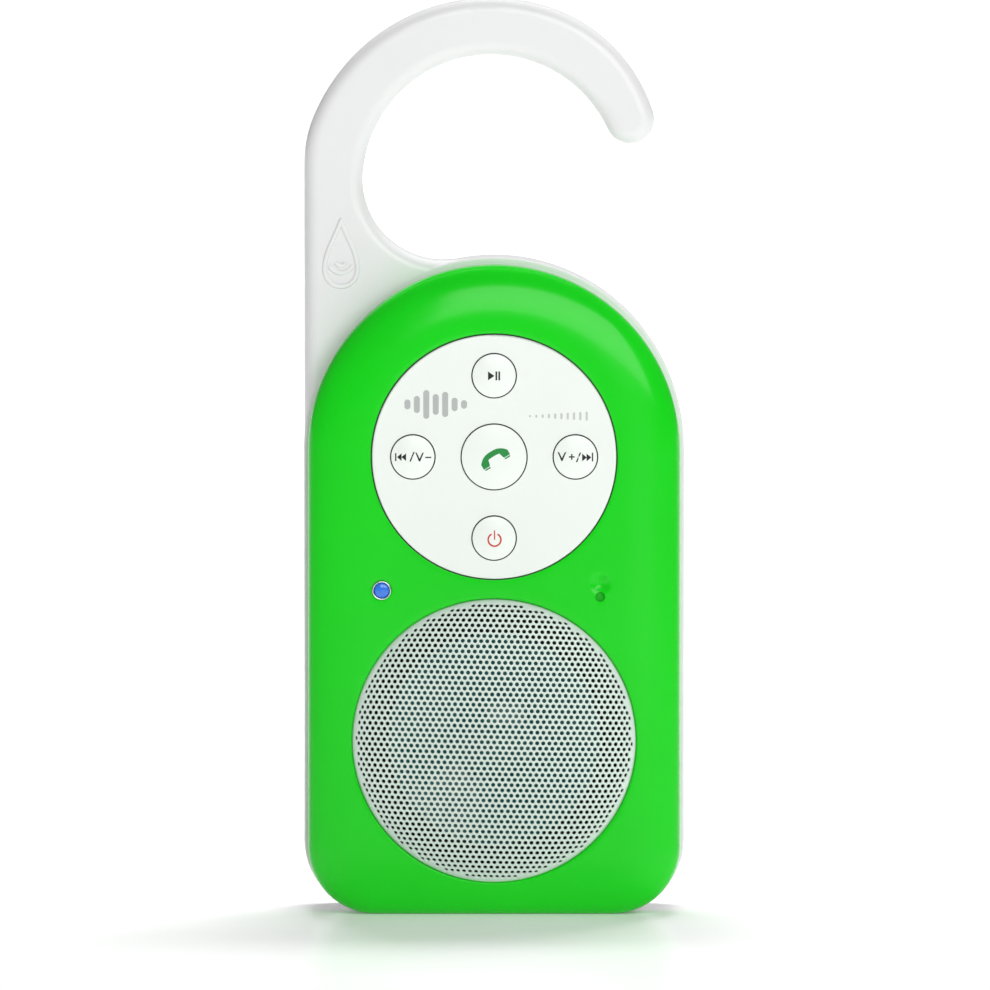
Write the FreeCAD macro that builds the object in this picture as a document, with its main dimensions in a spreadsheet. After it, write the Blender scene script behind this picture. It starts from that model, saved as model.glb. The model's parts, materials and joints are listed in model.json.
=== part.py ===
import FreeCAD, Part
import Sketcher
import math
import os
from types import SimpleNamespace

# A water-proof speaker that hangs from a shower rail by a hook moulded into its case.
# Millimetres. +X is the user's right, -Y the front, +Z up; the origin is on the flat base,
# half way through the depth.

Vector = FreeCAD.Vector

SIZES = {
    # Case seen from the front: straight sides, a half-round top and rounded base corners.
    "half_width": 42.5,
    "dome_height": 104.0,
    "base_corner": 16.0,
    # Depths of the case's seams and faces.
    "rear_face": 22.0,
    "hook_back": 8.0,
    "seam": 2.0,
    "cover_seam": -4.0,
    "cover_face": -17.0,
    # Hook: a chain of tangent arcs, each given by its radius and where the next one starts.
    "hook_side_radius": 26.84,
    "hook_side_height": 167.65,
    "hook_crown_radius": 42.83,
    "hook_crown_start": 157.8,
    "hook_nose_radius": 35.97,
    "hook_nose_start": 71.9,
    "hook_tip_radius": 5.48,
    "hook_tip_start": 17.5,
    "hook_throat_radius": 28.72,
    "hook_throat_start": 24.8,
    "hook_heel_radius": 17.9,
    "neck_angle": 94.1,
    "hook_edge": 3.0,
    "hook_wall": 2.0,
    "arm_step": 0.04,
    # Shell walls.
    "frame_wall": 3.2,
    "frame_edge": 0.45,
    "shell_wall": 3.0,
    "shell_back_wall": 2.4,
    "shell_edge": 6.5,
    "shell_inner_edge": 3.5,
    # Front cover.
    "cover_half_width": 41.5,
    "cover_dome_height": 103.45,
    "cover_corner": 15.0,
    "cover_wall": 2.2,
    "cover_edge": 5.5,
    # Seals in the two seams.
    "seal_width": 1.0,
    "seal_depth": 0.8,
    "seal_slack": 0.02,
    "cover_seal_inset": 0.6,
    "case_seal_inset": 1.0,
    # Case screws, from the back into posts of the front cover.
    "screw_x": 34.6,
    "screw_low": 13.0,
    "screw_middle": 76.0,
    "screw_top_x": 22.5,
    "screw_top": 130.5,
    "post_radius": 3.1,
    "post_back": 4.4,
    "tube_radius": 4.2,
    "tube_front": 4.5,
    "head_seat": 10.0,
    "head_radius": 2.6,
    "head_length": 1.8,
    "head_bore": 2.9,
    "shank_radius": 1.35,
    "shank_bore": 1.4,
    "shank_clearance": 1.7,
    "shank_front": -6.0,
    "plug_front": 18.5,
    "plug_back": 21.8,
    # Controls.
    "panel_height": 102.5,
    "panel_radius": 27.2,
    "panel_gap": 0.28,
    "panel_front": -17.3,
    "panel_back": -15.8,
    "panel_edge": 0.4,
    "button_pitch": 18.1,
    "button_radius": 4.8,
    "call_radius": 7.2,
    "button_gap": 0.3,
    "button_sill": 0.6,
    "button_rim": 1.2,
    "button_front": -18.25,
    "button_shoulder": -17.7,
    "button_rim_front": -14.72,
    "button_rim_back": -14.1,
    # Silicone keypad, its seal against the cover and the switches behind it.
    "keypad_radius": 25.9,
    "keypad_skirt": 1.1,
    "keypad_front": -13.3,
    "keypad_back": -12.5,
    "keypad_gap": 0.05,
    "nub_radius": 1.5,
    "switch_half": 3.0,
    "switch_front": -10.7,
    "stem_radius": 1.7,
    "stem_gap": 0.1,
    "stem_front": -11.6,
    "stem_back": -9.0,
    "stem_bore_back": -8.4,
    # Main circuit board.
    "board_front": -7.6,
    "board_back": -6.0,
    "board_radius": 31.5,
    "board_half_width": 30.0,
    "board_bottom": 68.5,
    "board_post": 2.4,
    "board_post_circle": 28.5,
    "board_screw_radius": 1.0,
    "board_screw_bore": 1.05,
    "board_screw_front": -12.0,
    "board_head_radius": 2.0,
    "board_head_length": 1.4,
    # Status light and microphone.
    "light_x": -25.05,
    "light_height": 72.7,
    "light_radius": 1.7,
    "light_gap": 0.05,
    "bezel_radius": 2.15,
    "bezel_front": -17.6,
    "bezel_back": -16.2,
    "light_front": -17.45,
    "light_back": -9.0,
    "mike_x": 23.6,
    "mike_dish_height": 72.7,
    "mike_dish_radius": 3.15,
    "mike_dish_depth": 0.7,
    "mike_height": 71.25,
    "mike_bore": 1.05,
    "mike_radius": 2.0,
    "mike_length": 2.0,
    "boot_radius": 2.9,
    # Loudspeaker, on one axis; depths are along that axis.
    "driver_height": 39.1,
    "grille_radius": 31.6,
    "grille_shoulder": 30.4,
    "grille_seat": 31.8,
    "grille_back": -16.0,
    "grille_wall": 0.6,
    "grille_curl": 1.2,
    "mouth_radius": 29.0,
    "lip_radius": 30.5,
    "lip_back": -11.8,
    "flange_front": -11.0,
    "flange_back": -9.8,
    "flange_inner": 27.2,
    "ear_circle": 33.5,
    "ear_radius": 4.2,
    "ear_post": 2.8,
    "driver_screw_radius": 1.0,
    "driver_screw_bore": 1.05,
    "driver_screw_front": -14.3,
    "driver_head_radius": 2.1,
    "driver_head_length": 1.4,
    "basket_wall": 1.2,
    "window_radius": 2.8,
    "ledge_radius": 20.5,
    "ledge_inner": 16.8,
    "ledge_front": -0.2,
    "basket_back": 4.2,
    "plate_back": 7.0,
    "plate_radius": 15.0,
    "plate_bore": 8.4,
    "magnet_radius": 16.0,
    "magnet_bore": 9.6,
    "magnet_back": 12.0,
    "yoke_radius": 15.0,
    "yoke_back": 14.6,
    "pole_radius": 7.0,
    "coil_inner": 7.4,
    "coil_outer": 8.0,
    "coil_front": -3.6,
    "coil_back": 8.4,
    "cone_inner": 8.05,
    "cone_outer": 24.0,
    "cone_throat": -3.0,
    "cone_mouth": -10.5,
    "cone_wall": 0.45,
    "cap_radius": 9.6,
    "cap_back": -4.4,
    "cap_front": -7.0,
    "cap_wall": 0.4,
    "roll_middle": 26.2,
    "roll_radius": 1.9,
    "surround_wall": 0.4,
    "surround_outer": 28.9,
    "surround_inner": 23.6,
    "spider_wall": 0.4,
    # Battery and charging port, behind the board and on the left wall.
    "battery_half_width": 25.0,
    "battery_front": 10.4,
    "battery_back": 18.4,
    "battery_bottom": 86.0,
    "battery_top": 120.0,
    "battery_corner": 2.0,
    "battery_pad_inset": 5.0,
    "port_front": 7.0,
    "port_back": 9.6,
    "port_bottom": 41.2,
    "port_top": 48.8,
    "port_mouth": -39.0,
    "port_inner": -33.4,
    "port_wall": 0.35,
    "port_hole_gap": 0.5,
    "port_board_thickness": 1.2,
    "door_front": 4.6,
    "door_back": 13.2,
    "door_bottom": 36.2,
    "door_axis_height": 59.6,
    "door_half_thickness": 0.75,
    "door_axis_x": -41.7,
    "door_gap": 0.3,
    "door_notch": 3.0,
    "pin_radius": 0.4,
    "pin_gap": 0.05,
    "pin_reach": 1.2,
    "lead_radius": 0.55,
}

BUTTONS = {
    "play": (0, 1),
    "power": (0, -1),
    "back": (-1, 0),
    "next": (1, 0),
    "call": (0, 0),
}


class Size:
    """A number that carries the spreadsheet formula it comes from."""

    def __init__(self, value, text):
        self.value = value
        self.text = text

    def __add__(self, other):
        other = as_size(other)
        return Size(self.value + other.value, f"({self.text} + {other.text})")

    def __sub__(self, other):
        other = as_size(other)
        return Size(self.value - other.value, f"({self.text} - {other.text})")

    def __mul__(self, other):
        other = as_size(other)
        return Size(self.value * other.value, f"({self.text} * {other.text})")

    def __truediv__(self, other):
        other = as_size(other)
        return Size(self.value / other.value, f"({self.text} / {other.text})")

    def __neg__(self):
        return Size(-self.value, f"(0 - {self.text})")

    def __radd__(self, other):
        return as_size(other) + self

    def __rsub__(self, other):
        return as_size(other) - self

    def __rmul__(self, other):
        return as_size(other) * self


def as_size(number):
    return number if isinstance(number, Size) else Size(float(number), f"({float(number)})")


def cosine(angle):
    angle = as_size(angle)
    return Size(math.cos(math.radians(angle.value)), f"cos({angle.text} * 1 deg)")


def sine(angle):
    angle = as_size(angle)
    return Size(math.sin(math.radians(angle.value)), f"sin({angle.text} * 1 deg)")


def root(size):
    return Size(math.sqrt(size.value), f"sqrt({size.text})")


document = FreeCAD.newDocument("shower_speaker")
sheet = document.addObject("Spreadsheet::Sheet", "dims")
worked = document.addObject("Spreadsheet::Sheet", "worked")
nodes = {}


def fill_sheet():
    """Puts the driving dimensions in the sheet and gives them back by name."""
    for row, (name, number) in enumerate(SIZES.items(), 1):
        sheet.set(f"A{row}", name)
        sheet.set(f"B{row}", str(number))
        sheet.setAlias(f"B{row}", name)
    document.recompute()
    return SimpleNamespace(**{name: Size(number, f"dims.{name}") for name, number in SIZES.items()})


def work_out(name, size):
    """Keeps a worked-out length as a named formula, so that later formulas stay short."""
    row = work_out.row = work_out.row + 1
    worked.set(f"A{row}", name)
    worked.set(f"B{row}", "=" + size.text.replace("worked.", ""))
    worked.setAlias(f"B{row}", name)
    return Size(size.value, f"worked.{name}")


work_out.row = 0
d = fill_sheet()


# ---- document helpers -------------------------------------------------------------------


def bind(item, name, size):
    item.setExpression(name, as_size(size).text)


def origin_plane(body, role):
    return next(plane for plane in body.Origin.OriginFeatures if plane.Role == role)


def new_body(label):
    body = document.addObject("PartDesign::Body", label)
    body.Label = label
    body.Placement = FreeCAD.Placement()
    return body


def node(label, item):
    """Marks an object as one piece of the speaker, under its own name."""
    item.Label = label
    nodes[label] = item
    return item


def new_sketch(body, role, offset):
    sketch = body.newObject("Sketcher::SketchObject", f"{body.Name}_sketch")
    sketch.AttachmentSupport = (origin_plane(body, role), [""])
    sketch.MapMode = "FlatFace"
    bind(sketch, ".AttachmentOffset.Base.z", offset)
    return sketch


def hold(sketch, constraint, size):
    """Adds a constraint whose value follows a size."""
    row = sketch.addConstraint(constraint)
    bind(sketch, f"Constraints[{row}]", size)


def locate(sketch, geometry, vertex, across, up):
    for kind, size in (("DistanceX", as_size(across)), ("DistanceY", as_size(up))):
        hold(sketch, Sketcher.Constraint(kind, -1, 1, geometry, vertex, size.value), size)


def circle(sketch, across, up, radius):
    centre = Vector(as_size(across).value, as_size(up).value, 0)
    radius = as_size(radius)
    geometry = sketch.addGeometry(Part.Circle(centre, Vector(0, 0, 1), radius.value))
    locate(sketch, geometry, 3, across, up)
    hold(sketch, Sketcher.Constraint("Radius", geometry, radius.value), radius)


def arc_between(start, end, bend):
    """The shorter arc between two points; a positive bend turns left, a negative one right."""
    chord = end - start
    radius = abs(bend)
    side = Vector(-chord.y, chord.x, 0).normalize()
    reach = math.sqrt(max(radius ** 2 - (chord.Length / 2) ** 2, 0))
    centre = (start + end) / 2 + side * math.copysign(reach, bend)
    first, last = (start, end) if bend > 0 else (end, start)
    angles = [math.atan2(point.y - centre.y, point.x - centre.x) for point in (first, last)]
    return Part.ArcOfCircle(Part.Circle(centre, Vector(0, 0, 1), radius), *angles)


def loop(sketch, corners):
    """A closed outline. Each corner is (across, up) or (across, up, bend of the edge after it)."""
    points = [Vector(as_size(corner[0]).value, as_size(corner[1]).value, 0) for corner in corners]
    edges = []
    for index, corner in enumerate(corners):
        start, end = points[index], points[(index + 1) % len(points)]
        if len(corner) == 2:
            geometry = sketch.addGeometry(Part.LineSegment(start, end))
            edges.append((geometry, 1, 2))
            continue
        bend = as_size(corner[2])
        geometry = sketch.addGeometry(arc_between(start, end, bend.value))
        edges.append((geometry, 1, 2) if bend.value > 0 else (geometry, 2, 1))
        radius = bend if bend.value > 0 else -bend
        hold(sketch, Sketcher.Constraint("Radius", geometry, radius.value), radius)
    for index, (geometry, first, last) in enumerate(edges):
        following, entry, _ = edges[(index + 1) % len(edges)]
        sketch.addConstraint(Sketcher.Constraint("Coincident", geometry, last, following, entry))
        locate(sketch, geometry, first, corners[index][0], corners[index][1])


def rectangle(left, right, bottom, top):
    return [(left, bottom), (right, bottom), (right, top), (left, top)]


def finish_feature(body, feature, grows):
    """Recomputes and makes sure that the feature added or removed material as meant."""
    before = 0 if body.Shape.isNull() else body.Shape.Volume
    document.recompute()
    change = body.Shape.Volume - before
    assert (change > 1e-4) if grows else (change < -1e-4), f"{feature.Name} changed {change}"
    return feature


def pad(body, front, back, draw):
    """Material between two depths, with an outline drawn in X and Z."""
    sketch = new_sketch(body, "XZ_Plane", -as_size(back))
    draw(sketch)
    feature = body.newObject("PartDesign::Pad", f"{body.Name}_pad")
    feature.Profile = sketch
    bind(feature, "Length", back - front)
    return finish_feature(body, feature, True)


def pocket(body, front, back, draw):
    """Takes away what lies between two depths inside an outline drawn in X and Z."""
    sketch = new_sketch(body, "XZ_Plane", -as_size(front))
    draw(sketch)
    feature = body.newObject("PartDesign::Pocket", f"{body.Name}_pocket")
    feature.Profile = sketch
    bind(feature, "Length", back - front)
    return finish_feature(body, feature, False)


def turn(body, corners):
    """A turned solid about the body's own Y axis. Corners are (depth, radius, bend)."""
    sketch = new_sketch(body, "YZ_Plane", 0)
    loop(sketch, corners)
    feature = body.newObject("PartDesign::Revolution", f"{body.Name}_turn")
    feature.Profile = sketch
    feature.ReferenceAxis = (sketch, ["H_Axis"])
    feature.Angle = 360
    return finish_feature(body, feature, True)


def round_edges(body, radius, at_depth, keep=lambda edge: True):
    """Rounds the edges of the last feature that lie flat at one depth."""
    depth = as_size(at_depth).value
    base = body.Tip
    names = []
    for index, edge in enumerate(base.Shape.Edges, 1):
        box = edge.BoundBox
        if abs(box.YMin - depth) < 1e-4 and abs(box.YMax - depth) < 1e-4 and keep(edge):
            names.append(f"Edge{index}")
    feature = body.newObject("PartDesign::Fillet", f"{body.Name}_edge")
    feature.Base = (base, names)
    bind(feature, "Radius", radius)
    document.recompute()
    return feature


def move(item, across=0, depth=0, up=0):
    for axis, size in zip("xyz", (across, depth, up)):
        bind(item, f"Placement.Base.{axis}", size)


def ring(label, front, back, inner, outer, up=0, across=0):
    """A washer on an axis along Y."""
    body = new_body(label)
    turn(body, [(front, inner), (back, inner), (back, outer), (front, outer)])
    move(body, across, 0, up)
    return body


def cylinder(name, across, up, radius, front, back):
    item = document.addObject("Part::Cylinder", name)
    bind(item, "Radius", radius)
    bind(item, "Height", as_size(back) - front)
    item.Placement = FreeCAD.Placement(Vector(), FreeCAD.Rotation(Vector(1, 0, 0), -90))
    move(item, across, front, up)
    return item


def block(name, left, right, front, back, bottom, top):
    item = document.addObject("Part::Box", name)
    bind(item, "Length", as_size(right) - left)
    bind(item, "Width", as_size(back) - front)
    bind(item, "Height", as_size(top) - bottom)
    move(item, left, front, bottom)
    return item


def join(name, items):
    item = document.addObject("Part::MultiFuse", name)
    item.Shapes = items
    item.Placement = FreeCAD.Placement()
    return item


def carve(name, base, tools):
    item = document.addObject("Part::Cut", name)
    item.Base = base
    item.Tool = tools[0] if len(tools) == 1 else join(f"{name}_tools", tools)
    return item


def together(name, items):
    item = document.addObject("Part::Compound", name)
    item.Links = items
    return item


# ---- outlines ---------------------------------------------------------------------------


def polar(centre, radius, angle):
    return (centre[0] + radius * cosine(angle), centre[1] + radius * sine(angle))


def case_outline(half_width, dome_height, corner, inset=0):
    """Straight sides, half-round top and rounded base corners, moved inward by inset."""
    side = half_width - inset
    bend = corner - inset
    flat = half_width - corner
    return [
        (-flat, inset),
        (flat, inset, bend),
        (side, corner),
        (side, dome_height, side),
        (0, dome_height + side, side),
        (-side, dome_height),
        (-side, corner, bend),
    ]


def shell_outline(inset=0):
    return case_outline(d.half_width, d.dome_height, d.base_corner, inset)


def cover_outline(inset=0):
    return case_outline(d.cover_half_width, d.cover_dome_height, d.cover_corner, inset)


def hook_centres():
    """The centres of the hook's arcs, each tangent to the one before it."""
    side = (d.hook_side_radius - d.half_width, d.hook_side_height)
    step = d.hook_side_radius - d.hook_crown_radius
    crown = polar(side, step, d.hook_crown_start)
    crown = (work_out("crown_x", crown[0]), work_out("crown_z", crown[1]))
    step = d.hook_crown_radius - d.hook_nose_radius
    nose = polar(crown, step, d.hook_nose_start)
    nose = (work_out("nose_x", nose[0]), work_out("nose_z", nose[1]))
    step = d.hook_nose_radius - d.hook_tip_radius
    tip = polar(nose, step, d.hook_tip_start)
    tip = (work_out("tip_x", tip[0]), work_out("tip_z", tip[1]))
    step = d.hook_tip_radius + d.hook_throat_radius
    throat = polar(tip, -step, d.hook_throat_start)
    throat = (work_out("throat_x", throat[0]), work_out("throat_z", throat[1]))
    # The heel rounds the throat into the neck line, which is tangent to the dome.
    normal = (cosine(d.neck_angle), sine(d.neck_angle))
    height = d.dome_height * normal[1] + d.half_width + d.hook_heel_radius
    height = work_out("heel_height", height)
    level = work_out("throat_height", throat[0] * normal[0] + throat[1] * normal[1])
    along = work_out("throat_along", throat[0] * normal[1] - throat[1] * normal[0])
    reach = d.hook_throat_radius - d.hook_heel_radius
    rise = height - level
    along = work_out("heel_along", along - root(reach * reach - rise * rise))
    heel = (height * normal[0] + along * normal[1], height * normal[1] - along * normal[0])
    heel = (work_out("heel_x", heel[0]), work_out("heel_z", heel[1]))
    return SimpleNamespace(side=side, crown=crown, nose=nose, tip=tip, throat=throat, heel=heel)


hook = hook_centres()
document.recompute()


def hook_outline(inset=0):
    """The whole white case with its hook, moved inward by inset."""
    inset = as_size(inset)
    dome = (as_size(0), d.dome_height)
    dome_radius = d.half_width - inset
    side_radius = d.hook_side_radius - inset
    crown_radius = d.hook_crown_radius - inset
    nose_radius = d.hook_nose_radius - inset
    tip_radius = d.hook_tip_radius - inset
    throat_radius = d.hook_throat_radius + inset
    heel_radius = d.hook_heel_radius + inset
    stretch = throat_radius / (d.hook_throat_radius - d.hook_heel_radius)
    throat_end = tuple(t + (b - t) * stretch for t, b in zip(hook.throat, hook.heel))
    # The tip and the throat are long turns, so each is drawn as two arcs.
    tip_middle = (d.hook_tip_start + d.hook_throat_start) / 2 + 270
    throat_middle = d.hook_throat_start + 76
    flat = d.half_width - d.base_corner
    corner_radius = d.base_corner - inset
    return [
        (-flat, inset),
        (flat, inset, corner_radius),
        (dome_radius, d.base_corner),
        (dome_radius, d.dome_height, dome_radius),
        polar(dome, dome_radius, d.neck_angle),
        polar(hook.heel, -heel_radius, d.neck_angle) + (-heel_radius,),
        throat_end + (-throat_radius,),
        polar(hook.throat, throat_radius, throat_middle) + (-throat_radius,),
        polar(hook.throat, throat_radius, d.hook_throat_start) + (tip_radius,),
        polar(hook.tip, tip_radius, tip_middle) + (tip_radius,),
        polar(hook.nose, nose_radius, d.hook_tip_start) + (nose_radius,),
        polar(hook.crown, crown_radius, d.hook_nose_start) + (crown_radius,),
        polar(hook.side, side_radius, d.hook_crown_start) + (side_radius,),
        (-dome_radius, d.hook_side_height),
        (-dome_radius, d.base_corner, corner_radius),
    ]


def outlines(*corner_lists):
    """A drawing of one or more closed outlines."""
    def draw(sketch):
        for corners in corner_lists:
            loop(sketch, corners)
    return draw


def circles(*places):
    """A drawing of circles given as (across, up, radius)."""
    def draw(sketch):
        for place in places:
            circle(sketch, *place)
    return draw


# ---- places that several pieces share ---------------------------------------------------


def case_screw_places():
    low = [(d.screw_x * side, d.screw_low) for side in (-1, 1)]
    middle = [(d.screw_x * side, d.screw_middle) for side in (-1, 1)]
    top = [(d.screw_top_x * side, d.screw_top) for side in (-1, 1)]
    return low + middle + top


def board_screw_places():
    angles = (60, 120, -20, 200)
    centre = (as_size(0), d.panel_height)
    return [polar(centre, d.board_post_circle, angle) for angle in angles]


def ear_places():
    centre = (as_size(0), d.driver_height)
    return [polar(centre, d.ear_circle, 45 + 90 * quarter) for quarter in range(4)]


def button_place(name):
    across, up = BUTTONS[name]
    return (d.button_pitch * across, d.panel_height + d.button_pitch * up)


def cap_radius(name):
    return d.call_radius if name == "call" else d.button_radius


# ---- case -------------------------------------------------------------------------------


def make_front_cover():
    body = new_body("front_cover")
    floor = d.cover_face + d.cover_wall
    pad(body, d.cover_face, d.cover_seam, outlines(cover_outline()))
    round_edges(body, d.cover_edge, d.cover_face)
    pocket(body, floor, d.cover_seam, outlines(cover_outline(d.cover_wall)))
    round_edges(body, d.cover_edge - d.cover_wall, floor)
    # Seats for the control panel and the grille, and the openings behind them.
    pocket(body, d.cover_face, d.panel_back, circles((0, d.panel_height, d.panel_radius + d.panel_gap)))
    sills = [button_place(name) + (cap_radius(name) + d.button_sill,) for name in BUTTONS]
    pocket(body, d.panel_back, floor, circles(*sills))
    pocket(body, d.cover_face, d.grille_back, circles((0, d.driver_height, d.grille_seat)))
    pocket(body, d.grille_back, floor, circles((0, d.driver_height, d.mouth_radius)))
    # Lip round the loudspeaker, and the posts for every screw.
    lip = ((0, d.driver_height, d.lip_radius), (0, d.driver_height, d.mouth_radius))
    pad(body, floor, d.lip_back, circles(*lip))
    pad(body, floor, d.flange_front, circles(*[place + (d.ear_post,) for place in ear_places()]))
    pad(body, floor, d.board_front, circles(*[place + (d.board_post,) for place in board_screw_places()]))
    pad(body, floor, d.post_back, circles(*[place + (d.post_radius,) for place in case_screw_places()]))
    bores = [place + (d.driver_screw_bore,) for place in ear_places()]
    pocket(body, d.driver_screw_front, d.flange_front, circles(*bores))
    bores = [place + (d.board_screw_bore,) for place in board_screw_places()]
    pocket(body, d.board_screw_front, d.board_front, circles(*bores))
    bores = [place + (d.shank_bore,) for place in case_screw_places()]
    pocket(body, d.shank_front, d.post_back, circles(*bores))
    # Status light and microphone.
    seat = (d.light_x, d.light_height, d.bezel_radius + d.light_gap)
    pocket(body, d.cover_face, d.bezel_back, circles(seat))
    pocket(body, d.bezel_back, floor, circles((d.light_x, d.light_height, d.light_radius + d.light_gap)))
    dish = (d.mike_x, d.mike_dish_height, d.mike_dish_radius)
    pocket(body, d.cover_face, d.cover_face + d.mike_dish_depth, circles(dish))
    hole = (d.mike_x, d.mike_height, d.mike_bore)
    pocket(body, d.cover_face + d.mike_dish_depth, floor, circles(hole))
    node("front_cover", body)


def make_hook_frame():
    """Front half of the hook, in one piece with the frame that the cover closes on."""
    arm = new_body("hook_frame_arm")
    pad(arm, d.cover_seam, d.seam, outlines(hook_outline(d.arm_step)))
    round_edges(arm, d.hook_edge, d.cover_seam)
    pocket(arm, d.cover_seam + d.hook_wall, d.seam, outlines(hook_outline(d.hook_wall)))
    rim = new_body("hook_frame_rim")
    pad(rim, d.cover_seam, d.seam, outlines(shell_outline()))
    round_edges(rim, d.frame_edge, d.cover_seam)
    inside = new_body("hook_frame_inside")
    pad(inside, d.cover_seam - 1, d.seam + 1, outlines(shell_outline(d.frame_wall)))
    groove = new_body("hook_frame_groove")
    inner = cover_outline(d.cover_seal_inset + d.seal_width)
    groove_outlines = outlines(cover_outline(d.cover_seal_inset), inner)
    pad(groove, d.cover_seam - 1, d.cover_seam + d.seal_depth, groove_outlines)
    whole = join("hook_frame_whole", [arm, rim])
    node("hook_frame", carve("hook_frame", whole, [inside, groove]))


def door_recess_tools():
    """What the charging port takes out of the left wall: seat, hinge end, notch and opening."""
    left = -d.half_width - 1
    floor_x = d.door_axis_x + d.door_half_thickness + d.door_gap / 2
    front, back = d.door_front - d.door_gap, d.door_back + d.door_gap
    top = d.door_axis_height + d.door_half_thickness + d.door_gap
    seat = block("port_seat", left, floor_x, front, back, d.door_bottom - d.door_gap, top)
    middle = (d.door_front + d.door_back) / 2
    notch = block("port_notch", left, d.door_axis_x, middle - d.door_notch, middle + d.door_notch,
                  d.door_bottom - d.door_notch, d.door_bottom)
    gap = d.port_hole_gap
    opening = block("port_opening", left, 1 - d.half_width + d.shell_wall,
                    d.port_front - gap, d.port_back + gap, d.port_bottom - gap, d.port_top + gap)
    pin = cylinder("port_pin_bore", d.door_axis_x, d.door_axis_height, d.pin_radius + d.pin_gap / 5,
                   d.door_front - d.pin_reach, d.door_back + d.pin_reach)
    return [seat, notch, opening, pin]


def make_rear_shell():
    """Rear half of the hook and the back of the case."""
    arm = new_body("rear_shell_arm")
    pad(arm, d.seam, d.hook_back, outlines(hook_outline(d.arm_step)))
    round_edges(arm, d.hook_edge, d.hook_back)
    pocket(arm, d.seam, d.hook_back - d.hook_wall, outlines(hook_outline(d.hook_wall)))
    tub = new_body("rear_shell_tub")
    pad(tub, d.seam, d.rear_face, outlines(shell_outline()))
    round_edges(tub, d.shell_edge, d.rear_face)
    inner_face = d.rear_face - d.shell_back_wall
    inside = new_body("rear_shell_inside")
    pad(inside, d.seam - 1, inner_face, outlines(shell_outline(d.shell_wall)))
    round_edges(inside, d.shell_inner_edge, inner_face)
    groove = new_body("rear_shell_groove")
    inner = shell_outline(d.case_seal_inset + d.seal_width)
    pad(groove, d.seam - 1, d.seam + d.seal_depth, outlines(shell_outline(d.case_seal_inset), inner))
    hollow = carve("rear_shell_hollow", join("rear_shell_whole", [arm, tub]), [inside, groove])
    tubes = []
    bores = []
    for index, (across, up) in enumerate(case_screw_places(), 1):
        tubes.append(cylinder(f"screw_tube_{index}", across, up, d.tube_radius, d.tube_front,
                              inner_face + 1))
        bores.append(cylinder(f"head_bore_{index}", across, up, d.head_bore, d.head_seat,
                              d.rear_face + 1))
        bores.append(cylinder(f"shank_bore_{index}", across, up, d.shank_clearance,
                              d.tube_front - 1, d.head_seat + 1))
    tubed = join("rear_shell_tubed", [hollow] + tubes)
    node("rear_shell", carve("rear_shell", tubed, bores + door_recess_tools()))


def make_seals():
    cover_seal = new_body("cover_seal")
    inner = cover_outline(d.cover_seal_inset + d.seal_width - d.seal_slack)
    outer = cover_outline(d.cover_seal_inset + d.seal_slack)
    pad(cover_seal, d.cover_seam, d.cover_seam + d.seal_depth - d.seal_slack, outlines(outer, inner))
    node("cover_seal", cover_seal)
    case_seal = new_body("case_seal")
    inner = shell_outline(d.case_seal_inset + d.seal_width - d.seal_slack)
    outer = shell_outline(d.case_seal_inset + d.seal_slack)
    pad(case_seal, d.seam, d.seam + d.seal_depth - d.seal_slack, outlines(outer, inner))
    node("case_seal", case_seal)


def screw_group(label, places, shank_radius, shank_front, seat, head_radius, head_length):
    """Identical screws, heads to the back, as separate solids of one node."""
    screws = []
    for index, (across, up) in enumerate(places, 1):
        shank = cylinder(f"{label}_shank_{index}", across, up, shank_radius, shank_front, seat)
        head = cylinder(f"{label}_head_{index}", across, up, head_radius, seat, seat + head_length)
        slot = block(f"{label}_slot_{index}", across - head_radius / 2, across + head_radius / 2,
                     seat + head_length / 2, seat + head_length + 1, up - 0.25, up + 0.25)
        screws.append(carve(f"{label}_{index}", join(f"{label}_blank_{index}", [shank, head]), [slot]))
    node(label, together(label, screws))


def make_fasteners():
    screw_group("case_screws", case_screw_places(), d.shank_radius, d.shank_front + 1, d.head_seat,
                d.head_radius, d.head_length)
    screw_group("board_screws", board_screw_places(), d.board_screw_radius, d.board_screw_front + 0.5,
                d.board_back, d.board_head_radius, d.board_head_length)
    screw_group("driver_screws", ear_places(), d.driver_screw_radius, d.driver_screw_front + 0.3,
                d.flange_back, d.driver_head_radius, d.driver_head_length)
    plugs = [cylinder(f"plug_{index}", across, up, d.head_bore - d.pin_gap, d.plug_front, d.plug_back)
             for index, (across, up) in enumerate(case_screw_places(), 1)]
    node("screw_plugs", together("screw_plugs", plugs))


# ---- controls ---------------------------------------------------------------------------


def make_control_panel():
    body = new_body("control_panel")
    pad(body, d.panel_front, d.panel_back, circles((0, d.panel_height, d.panel_radius)))
    round_edges(body, d.panel_edge, d.panel_front)
    holes = [button_place(name) + (cap_radius(name) + d.button_gap,) for name in BUTTONS]
    pocket(body, d.panel_front, d.panel_back, circles(*holes))
    node("control_panel", body)


def make_button(name):
    """A crowned cap with a rim behind the cover that keeps it from falling out."""
    body = new_body(f"button_{name}")
    radius = cap_radius(name)
    crown = d.button_shoulder - d.button_front
    dome = (radius * radius + crown * crown) / (2 * crown)
    turn(body, [
        (d.button_front, 0, -dome),
        (d.button_shoulder, radius),
        (d.button_rim_front, radius),
        (d.button_rim_front, radius + d.button_rim),
        (d.button_rim_back, radius + d.button_rim),
        (d.button_rim_back, 0),
    ])
    across, up = button_place(name)
    move(body, across, 0, up)
    node(f"button_{name}", body)


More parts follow.
